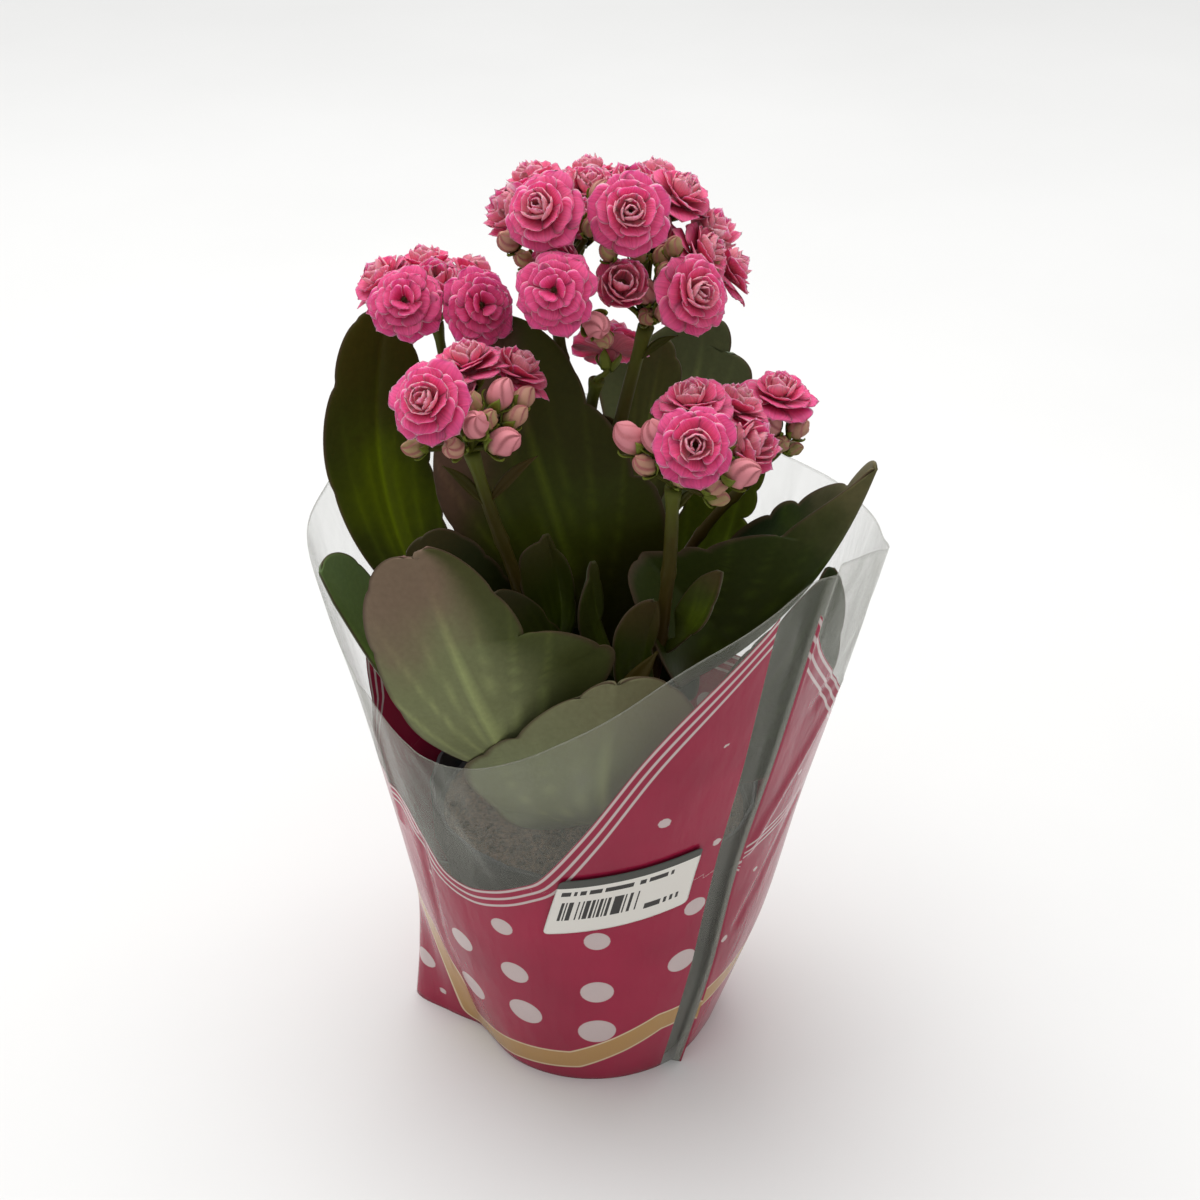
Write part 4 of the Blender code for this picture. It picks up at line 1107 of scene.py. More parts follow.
@dataclass
class Bloom:
    """Double bloom: rings of petals round a short tube, pressed flat where they meet the next bloom."""

    name: str
    place: BloomPlace
    neighbours: tuple[BloomPlace, ...]
    nodes: tuple[str, ...] = ()
    seed: int = 0
    middle: float = 6.5
    gap: float = 0.35
    thickness: float = 0.34
    pressed: float = 0.92  # share of its reach past a neighbour that is pressed back
    rows: int = 11
    columns: int = 11

    @staticmethod
    def reach(place: BloomPlace) -> float:
        """Radius of a bloom's widest ring."""
        return 7.8 if place.form is BloomForm.HALF else 11.7

    def rings(self) -> tuple[PetalRing, ...]:
        """Rings of this bloom's form, outermost first."""
        if self.place.form is BloomForm.HALF:
            return CUPPED_PETALS
        return POMPON_PETALS if self.place.form is BloomForm.FLAT else OPEN_PETALS + ROLLED_PETALS

    def petal(self, ring: PetalRing, rng: np.random.Generator) -> Array:
        """Middle surface of one petal that grows towards +X.

        The midline is a quadratic Bezier of radius and height. The half width opens from a claw to a broad
        blade and closes to a round end with a tiny point. Both halves rise by the cup, the blade leans and
        rolls a little to one side, and its end waves.
        """
        u, v = blade_grid(self.rows, self.columns)
        half = ring.half_width * rng.uniform(0.88, 1.1) * (0.28 + 0.72 * smooth_step(0, 0.6, u))
        half = half * np.sqrt(np.clip(1 - (np.maximum(u - 0.52, 0) / 0.5) ** 3.4, 0.02, 1))
        blunt = u * (1 - 0.09 * v**2 * u**2) + 0.035 * np.exp(-((v / 0.16) ** 2)) * u**10
        blunt = blunt * rng.uniform(0.9, 1.02)
        p0, p1, p2 = (np.array(p, float) for p in ring.curve)
        t = blunt[..., None]
        line = p0 * (1 - t) ** 2 + p1 * 2 * t * (1 - t) + p2 * t**2
        along = unit(2 * (p1 - p0) * (1 - t) + 2 * (p2 - p1) * t)
        roll, pitch = rng.uniform(-0.26, 0.26), rng.uniform(-0.14, 0.2)
        first, second = rng.uniform(0, math.tau, 2)
        lift = (ring.cup * v**2 + roll * v) * half + pitch * u * ring.curve[2][0] * 0.5
        lift = lift + (0.34 * np.sin(v * 3.4 + first) * np.abs(v) + 0.16 * np.sin(v * 8.0 + second)) * u**3
        radius = line[..., 0] - along[..., 1] * lift
        height = line[..., 1] + along[..., 0] * lift
        return np.stack([radius, -v * half, height], axis=-1)

    def heart(self, level: int) -> float:
        """How far a ring has the heart's paler colour."""
        if self.place.form is BloomForm.HALF:
            return 0.3 + level / 8
        if self.place.form is BloomForm.FLAT:
            return 0.0
        return 0.85 if level >= len(OPEN_PETALS) else 0.05 * level

    def build(self, finish: bpy.types.Material) -> bpy.types.Object:
        """Grow the rings from the outermost in, then press the bloom clear of its neighbours."""
        rng = np.random.default_rng(self.seed)
        shapes = Shapes()
        u, v = blade_grid(self.rows, self.columns)
        edge = np.maximum(np.abs(v), smooth_step(0.6, 1.0, u))
        thickness = self.thickness * np.sqrt(np.clip(1 - edge**4, 0.05, 1))
        fade = self.place.fade
        spin = rng.uniform(0, 360)
        for level, ring in enumerate(self.rings()):
            spin += 180 / ring.count + rng.uniform(-12, 12)
            for k in range(ring.count):
                angle = math.radians(spin + 360 * k / ring.count + rng.uniform(-9, 9))
                points, quads, side = lens(turned(self.petal(ring, rng), angle), thickness)
                shapes.add(
                    points,
                    quads,
                    along=both_faces(u),
                    across=both_faces(v) + 3.0 * k + 11.0 * level,
                    edge=both_faces(edge),
                    side=side,
                    heart=self.heart(level),
                    fade=fade,
                    eye=0.0,
                )
        tube = np.array([[0, 0, 0.0], [0, 0, 1.5], [0, 0, 3.2], [0, 0, 5.0], [0, 0, 8.6]])
        points, quads, tris = swept(tube, [1.5, 1.9, 2.3, 2.0, 0.6], 12)
        eye = smooth_step(5.4, 6.6, points[:, 2])
        shapes.add(
            points, quads, tris, along=0.3, across=0.0, edge=0.3, side=0.9, heart=0.3, fade=fade, eye=eye
        )
        local = np.concatenate(shapes.points)
        at = np.array(self.place.at, float)
        out = np.array(Vector(self.place.faces).normalized())
        world = local @ turn_to(out).T + at - out * self.middle
        for other in self.neighbours:
            away = np.array(other.at, float) - at
            apart = float(np.linalg.norm(away))
            share = self.reach(self.place) / (self.reach(self.place) + self.reach(other))
            past = (world - at) @ (away / apart) - apart * share + self.gap / 2
            world = world - np.maximum(past, 0)[:, None] * (away / apart) * self.pressed
        shapes.points = [world]
        return shapes.piece(f"petals_{self.name}", finish, self.nodes)


@dataclass
class FlowerStalks:
    """One rooted stem with its stalks, pedicels, calyxes, buds and the small bracts below its heads."""

    stem: StemName
    bloom_middle: float = 6.5
    gap: float = 0.35
    calyx_height: float = 2.0
    sepal_length: float = 5.6
    sepal_flare: float = 3.4
    bend: float = 0.35
    slim: float = 0.86  # bare stalk as a share of the stem that carries the leaf feet

    def pedicel(self, hub: Array, end: Array, faces: Array, shares: Array) -> Array:
        """Points of a pedicel: a Bezier that leaves the hub rising and bends to where its flower faces."""
        reach = float(np.linalg.norm(end - hub))
        rising = unit(unit(end - hub) + np.array([0, 0, 1.0]))
        return bezier((hub, hub + rising * reach * self.bend, end - faces * reach * self.bend, end), shares)

    def sepals(
        self, shapes: Shapes, foot: Array, faces: Array, length: float, flare: float, spin: float
    ) -> None:
        """Add four pointed sepals round a foot: each a small blade that hugs what it holds.

        Args:
            shapes: Takes the sepals.
            foot: Where they grow.
            faces: The way the flower or bud faces.
            length: Their length.
            flare: How far out their tips reach.
            spin: Turn about the flower's axis, in degrees.
        """
        u, v = blade_grid(9, 5)
        half = length * 0.34 * np.clip(np.sin(np.pi * (0.3 + 0.7 * u)), 0.03, 1)
        out = 0.9 + (flare - 0.9) * np.sin(u * 2.2) / math.sin(2.2) * u**0.4
        blade = np.stack([out + 0.14 * half * (1 - v**2), v * half, u * length - 0.4], axis=-1)
        for k in range(4):
            sepal = turned(blade, math.radians(spin + 90 * k)) @ turn_to(faces).T + foot
            points, quads, _ = lens(sepal, np.full(u.shape, 0.5))
            shapes.add(points, quads, bud=1.0, ripe=0.0, along=0.0, crease=0.0, brown=0.0)

    def bud(self, shapes: Shapes, foot: Array, faces: Array, length: float, spin: float) -> None:
        """Add a bud: a blunt egg turned about its axis, with five petals lapped in a spiral."""
        rows, sides = 20, 50
        t, a = np.meshgrid(np.linspace(0, 1, rows), full_turn(sides), indexing="ij")
        profile = smooth_between((0.0, 0.2, 0.45, 0.75, 0.93, 1.0), (0.35, 0.82, 1.0, 0.84, 0.42, 0.1), t)
        lap = (5 * a / math.tau + 1.6 * t + spin / 72) % 1.0
        ridge = (lap - 0.5) * smooth_step(0.05, 0.4, t)
        radius = 0.35 * length * profile * (1 + 0.2 * ridge)
        egg = np.stack([radius * np.cos(a), radius * np.sin(a), t * length + 0.5 * ridge * t], axis=-1)
        points = np.concatenate([egg.reshape(-1, 3), [[0, 0, 0], [0, 0, length * 1.02]]])
        lapped = smooth_step(0.25, 0.0, np.minimum(lap * 0.8, 1 - lap)) * t**0.5
        shapes.add(
            points @ turn_to(faces).T + foot,
            grid_faces(rows, sides, wrap=True),
            caps(rows, sides)[:, [1, 0, 2]],
            bud=1.0,
            ripe=float(np.clip((length - 6.5) / 3.5, 0.05, 1.0)),
            along=np.concatenate([t.ravel(), [0, 1]]),
            crease=np.concatenate([lapped.ravel(), [0, 0.4]]),
            brown=0.0,
        )
        self.sepals(shapes, foot, faces, 0.52 * length, 0.41 * length, spin)

    def bract(self, shapes: Shapes, foot: Array, tip: Array, width: float, brown: float) -> None:
        """Add a bract: a thin pointed blade from foot to tip that arches up and folds along its middle."""
        u, v = blade_grid(16, 7)
        line = foot + (tip - foot) * u[..., None] + np.array([0, 0, 1.5]) * np.sin(np.pi * u)[..., None]
        side = unit(np.cross(tip - foot, np.array([0.0, -0.8, 0.6])))
        half = width / 2 * np.clip(np.sin(np.pi * np.clip(u, 0, 1) ** 0.8), 0.12, 1)
        up = unit(np.cross(side, tip - foot))
        middle = line + side * (v * half)[..., None] + up * (0.35 * np.abs(v) * half)[..., None]
        points, quads, _ = lens(middle, np.full(u.shape, 0.6))
        shapes.add(points, quads, bud=0.0, ripe=0.0, along=0.0, crease=0.0, brown=brown)

    def build(self, finish: bpy.types.Material) -> bpy.types.Object:
        """Sweep the shoots, then each head's pedicels with a calyx or a bud at the end."""
        shapes = Shapes()
        plain = {"bud": 0.0, "ripe": 0.0, "crease": 0.0}
        for shoot in STEMS[self.stem]:
            shares = np.linspace(0, 1, 60)
            path = shoot.path(shares)
            radii = shoot.radius(shares)
            radii = radii * (1 - (1 - self.slim) * smooth_step(0.15, 0.5, shares))
            radii = radii * (1 + 0.05 * np.sin(shares * 23.0)) + 0.8 * smooth_step(0.94, 1.0, shares)
            # knots where a pair of bracts or leaves has grown
            for knot in (0.34, 0.62, 0.8):
                radii = radii + 0.45 * np.exp(-(((shares - knot) / 0.012) ** 2))
            points, quads, tris = swept(path, radii, 20)
            brown = 0.15 + 0.25 * np.sin(shares * 9.0) ** 2
            brown = brown + 0.5 * smooth_step(0.88, 0.7, shares) * smooth_step(0.3, 0.55, shares)
            brown = np.concatenate([np.repeat(np.clip(brown, 0, 1), 20), [0, 0]])
            fresh = np.concatenate([np.repeat(0.45 * smooth_step(0.86, 1.0, shares), 20), [0.45, 0.45]])
            shapes.add(points, quads, tris, along=0.0, brown=brown, **{**plain, "bud": fresh})
        spin = 0.0
        for head in HEADS.values():
            if head.stem is not self.stem:
                continue
            hub = np.array(STEMS[self.stem][head.shoot].points[-1], float)
            for place in head.blooms + head.fillers:
                faces = unit(np.array(place.faces, float))
                end = np.array(place.at, float) - faces * (self.bloom_middle + self.gap)
                shares = np.linspace(0, 1, 14)
                path = self.pedicel(hub, end - faces * self.calyx_height, faces, shares)
                path = np.concatenate([path, [end]])
                radii = np.concatenate([1.1 - 0.3 * np.sin(shares * math.pi), [2.0]])
                points, quads, tris = swept(path, radii, 10)
                shapes.add(points, quads, tris, along=0.0, brown=0.0, **{**plain, "bud": 0.6})
                spin += 37
                foot = end - faces * self.calyx_height
                self.sepals(shapes, foot, faces, self.sepal_length, self.sepal_flare, spin)
            for at, length in head.buds:
                at = np.array(at, float)
                faces = unit(at - hub)
                foot = at - faces * (length / 2)
                path = self.pedicel(hub, foot, faces, np.linspace(0, 1, 10))
                points, quads, tris = swept(path, np.linspace(1.0, 0.85, 10), 10)
                shapes.add(points, quads, tris, along=0.0, brown=0.1, **plain)
                spin += 53
                self.bud(shapes, foot, faces, length, spin)
        for foot, tip, width, brown in BRACTS.get(self.stem, ()):
            self.bract(shapes, np.array(foot, float), np.array(tip, float), width, brown)
        name = self.stem.value.replace("stem", "stalks")
        return shapes.piece(name, finish, (self.stem.value,))


@dataclass(frozen=True)
class LeafPlan:
    """Leaf: its stem, its foot, the midrib's curve after the foot, both margins and its finish.

    A margin is a row of (share of the midrib, millimetres from it, bulge), from the petiole to the tip. Each
    scallop runs from one place to the next and bulges out by that part of its chord. A blade without margins
    follows the half width.
    """

    stem: StemName
    foot_z: float
    heading: float
    midrib: tuple
    half_width: float
    faces: tuple
    fold: float  # degrees that each half rises towards the side it faces
    finish: LeafFinish
    petiole: float = 0.2
    minus: tuple = ()
    plus: tuple = ()
    widest: float = 0.5
    lobes: int = 5
    loose: bool = False  # True for a leaf that stands for no CAD node


L, B, R = StemName.LEFT, StemName.BACK, StemName.RIGHT
LEAVES: dict[str, LeafPlan] = {
    "back_left": LeafPlan(
        L, 118, -110, ((-42, 6, 135), (-76, 12, 178), (-63, 42, 236)), 20, (0.35, -0.8, 0.5), 8,
        LeafFinish(
            "leaf_wax_olive", blade="#32380b", young="#4b5603", young_at=0.62, blush="#3b3409",
            blush_from=0.82
        ),
        minus=(
            (0.2, -2.2, 0), (0.5, -7.5, 0.02), (0.72, -16.3, 0.05), (0.89, -13.2, 0.14),
            (0.985, -9, 0.15), (1.0, -0.6, 0.2),
        ),
        plus=(
            (0.2, 8, 0), (0.45, 13, 0.1), (0.61, 15, 0.05), (0.74, 15, 0.08), (0.9, 13, 0.1),
            (0.965, 9.7, 0.15), (1.0, 0.6, 0.2),
        ),
    ),
    "middle": LeafPlan(
        B, 132, 0, ((1, -6, 148), (-12, -18, 200), (-27, 13, 247)), 32, (0.1, -0.9, 0.4), 5,
        LeafFinish(
            "leaf_wax_red", blade="#33340d", young="#3b430c", blush="#5a4236", blush_from=0.84,
            blush_side=-1.3
        ),
        petiole=0.3,
        minus=(
            (0.3, -2.2, 0), (0.42, -14, 0.1), (0.57, -22, 0.05), (0.68, -29.5, 0.08), (0.76, -30.5, 0.1),
            (0.9, -20, 0.1), (0.99, -8, 0.1), (1.01, -0.6, 0.1),
        ),
        plus=(
            (0.1, 3, 0), (0.18, 17, 0.05), (0.3, 25, 0.05), (0.46, 29.5, 0.05), (0.54, 31.4, 0.03),
            (0.61, 31.2, 0.04), (0.66, 25.3, 0.2), (0.825, 18.2, 0.15), (0.89, 17.3, 0.1),
            (1.01, 0.6, 0.16),
        ),
    ),
    "back_right": LeafPlan(
        B, 160, 150, ((15, 36, 187), (36, 52, 196), (34, 61, 231)), 19, (-0.15, -0.85, 0.5), 8,
        LeafFinish("leaf_wax_grey", blade="#464a2f", young="#4d5232", blush="#4a4d33", blush_from=0.9),
        minus=(
            (0.2, -2.2, 0), (0.45, -20, 0.08), (0.61, -29, 0.05), (0.81, -22, 0.12), (0.97, -5, 0.12),
            (0.985, 0.4, 0.12),
        ),
        plus=(
            (0.2, 2.2, 0), (0.45, 16, 0.08), (0.74, 17, 0.05), (0.82, 17.3, 0.1), (0.865, 8.7, 0.15),
            (0.965, 6, 0.25), (0.985, 1.6, 0.2),
        ),
    ),
    "back_inner": LeafPlan(
        B, 165, 110, ((14, 20, 178), (15, 32, 205), (22, 38, 232)), 10, (-0.1, -0.9, 0.4), 8,
        LeafFinish("leaf_wax_dark", blade="#4b4c26", young="#505428", blush="#4d4a2b", blush_from=0.9),
        minus=((0.2, -2, 0), (0.5, -6, 0.05), (0.73, -6, 0.05), (0.94, -5.5, 0.05), (0.99, -1, 0.1)),
        plus=(
            (0.2, 2, 0), (0.5, 9, 0.08), (0.8, 10, 0.1), (0.82, 6.4, 0.1), (0.935, 4.3, 0.25), (0.99, 0, 0.2),
        ),
    ),
    "far_right": LeafPlan(
        B, 128, 80, ((26, 17, 131), (44, 27, 156), (48, 30, 204)), 16, (0.0, -0.85, 0.5), 8,
        LeafFinish("leaf_wax_green", blade="#4e5a14", young="#55651a", blush="#586023", blush_from=0.95),
        minus=((0.2, -2.2, 0), (0.45, -14, 0.08), (0.77, -16, 0.08), (0.95, -9, 0.12), (1.0, -0.6, 0.12)),
        plus=(
            (0.2, 2.2, 0), (0.5, 9, 0.08), (0.75, 7, 0.1), (0.785, 2.6, 0.1), (0.86, 4.9, 0.3),
            (0.95, 5, 0.2), (1.0, 0.6, 0.15),
        ),
    ),
    "right": LeafPlan(
        R, 136, 100, ((30, -8, 141), (62, -18, 160), (80, -8, 208)), 34, (0.0, 0.45, 0.9), 55,
        LeafFinish(
            "leaf_wax_trough", blade="#16230a", young="#35440a", young_at=0.72, blush="#6a6242",
            blush_from=0.88,
            beneath="#2b350c",
        ),
        minus=(
            (0.2, -3, 0), (0.35, -28, 0.1), (0.55, -38, 0.1), (0.735, -34.2, 0.15), (0.825, -28.3, 0.25),
            (0.945, -15.8, 0.2), (1.02, -0.6, 0.2),
        ),
        plus=(
            (0.2, 3, 0), (0.3, 34, 0.1), (0.38, 45, 0.1), (0.43, 42, 0.08), (0.57, 35.8, 0.05),
            (0.64, 31.8, 0.2), (0.8, 17.2, 0.14), (1.02, 0.6, 0.08),
        ),
    ),
    "front_left": LeafPlan(
        L, 110, -10, ((-18, -40, 112), (-30, -70, 156), (-46, -60, 211)), 33, (-0.12, 0.95, 0.25), 16,
        LeafFinish(
            "leaf_wax_mauve", blade="#3c4412", young="#4c5a12", blush="#765850", blush_from=0.76,
            blush_side=0.3,
            # the left half of the underside gets painted shade
            beneath="#717550", shade="#373d13", shade_side=-1.0,
        ),
        petiole=0.42,
        minus=(
            (0.44, -2.2, 0), (0.56, -14, 0), (0.59, -33, 0.02), (0.65, -41.5, 0.12), (0.68, -38.2, 0.16),
            (0.79, -19.4, 0.12), (0.9, -15.8, 0.12), (1.015, -1.8, 0.15),
        ),
        plus=(
            (0.44, 2.2, 0), (0.69, 23, 0.12), (0.84, 23.3, 0.06), (0.965, 17.5, 0.15), (1.0, 2.6, 0.2),
            (1.015, -0.4, 0.1),
        ),
    ),
    "front": LeafPlan(
        R, 106, 0, ((8, -40, 100), (-2, -69, 120), (6, -61, 167)), 34, (0.0, 0.95, 0.3), 14,
        LeafFinish("leaf_wax_pale", blush="#6d684d", blush_from=0.85, beneath="#767a58"),
        minus=(
            (0.2, -2.2, 0), (0.4, -20, 0.1), (0.6, -28, 0.08), (0.8, -30, 0.06), (0.96, -26, 0.1),
            (1.03, -16, 0.1), (1.03, -0.6, 0.1),
        ),
        plus=(
            (0.2, 2.2, 0), (0.31, 29, 0.1), (0.53, 38, 0.1), (0.71, 41.5, 0.1), (0.775, 35.3, 0.1),
            (0.85, 26, 0.12), (0.985, 10, 0.1), (1.03, 0.6, 0.12),
        ),
    ),
    "left": LeafPlan(
        L, 106, -75, ((-38, -18, 106), (-59, -18, 135), (-76, -21, 175)), 13, (0.5, -0.2, 0.75), 8,
        LeafFinish("leaf_wax_fresh", blade="#52652f", young="#5b7030", blush="#566a3c", blush_from=0.95),
        minus=((0.2, -2.2, 0), (0.5, -4, 0), (0.81, -1, 0), (0.98, -0.3, 0), (1.07, 1.3, 0)),
        plus=((0.2, 2.2, 0), (0.5, 10, 0.05), (0.81, 19, 0.05), (0.99, 17.5, 0.1), (1.07, 2.6, 0.2)),
    ),
    "left_inner": LeafPlan(
        L, 140, -50, ((-27, -23, 150), (-40, -31, 172), (-52, -24, 188)), 12, (0.2, -0.7, 0.7), 8,
        LeafFinish("leaf_wax_shade", blade="#24290c", young="#2c320d", blush="#322c10", blush_from=0.95),
        minus=((0.2, -2, 0), (0.5, -11, 0.1), (0.8, -11, 0.08), (1.01, -0.6, 0.2)),
        plus=(
            (0.2, 3, 0), (0.47, 18.5, 0.1), (0.66, 19.5, 0.08), (0.82, 19, 0.1), (0.97, 17, 0.12),
            (1.05, 14, 0.1), (1.08, 7.5, 0.12), (1.06, 0.6, 0.12),
        ),
    ),
    "low_middle": LeafPlan(
        B, 112, -5, ((0, -4, 124), (-2, -24, 133), (-1, -42, 142)), 15, (0.0, -0.4, 0.9), 8,
        LeafFinish(
            "leaf_wax_low", blade="#222806", young="#272f08", blush="#2c260c", blush_from=0.95
        ), lobes=3,
    ),
    "sprout_middle": LeafPlan(
        R, 140, -70, ((4, -20, 150), (1, -22, 165), (-1, -21, 186)), 3.5, (0.6, -0.8, 0.0), 10,
        LeafFinish("sprout_middle", blade="#343a12", young="#3c4512", blush="#3c3a18", blush_from=0.9),
        minus=((0.2, -1, 0), (0.7, -8, 0.05), (0.86, -5.5, 0.08), (0.94, -1.2, 0.05), (1.02, 1.0, 0.05)),
        plus=((0.2, 1, 0), (0.68, 1, 0.02), (0.92, 2.6, 0.1), (1.02, 1.9, 0.1)),
    ),
    "sprout_right": LeafPlan(
        R, 142, 20, ((16, -34, 144), (11, -40, 156), (17, -36, 178)), 10, (0.3, -0.8, 0.5), 15,
        LeafFinish("sprout_right", blade="#2b3408", young="#36430c", blush="#44381c", blush_from=0.96),
        minus=(
            (0.2, -2, 0), (0.6, -8, 0.05), (0.82, -10, 0.08), (0.92, -11.3, 0.1), (1.05, -6.5, 0.12),
            (1.07, -1.4, 0.1),
        ),
        plus=((0.2, 2, 0), (0.7, 3, 0.05), (0.84, 2, 0.05), (0.98, 2.5, 0.08), (1.07, -0.4, 0.1)),
    ),
    "sprout_far": LeafPlan(
        R, 163, 60, ((28, -36, 170), (33, -38, 180), (36, -36, 193)), 5, (-0.5, -0.7, 0.4), 15,
        LeafFinish("sprout_far", blade="#343c0a", young="#3d490b", blush="#463a1c", blush_from=0.85),
        minus=((0.2, -1.5, 0), (0.36, -7, 0.1), (0.72, -7.5, 0.05), (0.89, -5.5, 0.05), (1.0, -1.0, 0.08)),
        plus=((0.2, 1.0, 0), (0.36, 0.6, 0), (0.72, 1.2, 0.08), (0.88, 1, 0.05), (1.0, 0, 0.05)),
    ),
    "sprout_holed": LeafPlan(
        L, 150, 85, ((-8, -16, 156), (-8, -21, 172), (-12, -20, 190)), 6.5, (0.1, -0.9, 0.4), 12,
        LeafFinish("sprout_holed", blade="#2b3208", young="#343e08", blush="#3b3814", blush_from=0.9),
        minus=(
            (0.2, -1.5, 0), (0.7, -9, 0.1), (0.92, -11, 0.1), (1.05, -9, 0.1), (1.08, -3, 0.1),
            (1.11, -0.5, 0.05),
        ),
        plus=((0.2, 1.5, 0), (0.68, 4, 0.05), (0.92, 4, 0.05), (1.01, 1.6, 0.1), (1.11, 0.5, 0.05)),
    ),
    # a leaf low on the right inside the sleeve, coloured very dark: its own green with painted shade
    "low_right": LeafPlan(
        R, 118, 60, ((34, -22, 124), (58, -26, 140), (70, -12, 182)), 20, (0.1, -0.9, 0.4), 8,
        LeafFinish(
            "leaf_deep_painted_shade", blade="#1d260d", young="#222d10", blush="#2a3418", blush_from=0.95
        ), loose=True,
        minus=(
            (0.2, -2.2, 0), (0.46, -9, 0.05), (0.7, -11.5, 0.1), (0.81, -8, 0.1), (0.95, -2, 0.1),
            (0.99, -0.5, 0.1),
        ),
        plus=(
            (0.2, 2.2, 0), (0.3, 18, 0.1), (0.51, 21, 0.08), (0.67, 14, 0.1), (0.85, 10, 0.1),
            (0.96, 5, 0.1), (0.99, 0.5, 0.1),
        ),
    ),
    # a leaf low in the back of the sleeve, coloured nearly black: its own green with painted shade
    "low_back": LeafPlan(
        B, 104, 40, ((8, 9, 112), (10, 8, 128), (11, 8, 158)), 24, (0.0, -1.0, 0.1), 5,
        LeafFinish(
            "leaf_inner_painted_shade", blade="#171e08", young="#1c240a", blush="#1f2009", blush_from=0.95
        ), lobes=3,
        loose=True,
    ),
    "sprout_left": LeafPlan(
        L, 136, 20, ((-9, -26, 146), (-13, -34, 163), (-29, -33, 183)), 10, (0.4, -0.6, 0.7), 12,
        LeafFinish(
            "sprout_left", blade="#272d08", young="#2f3809", blush="#38311a", blush_from=0.88
        ), lobes=3,
    ),
}


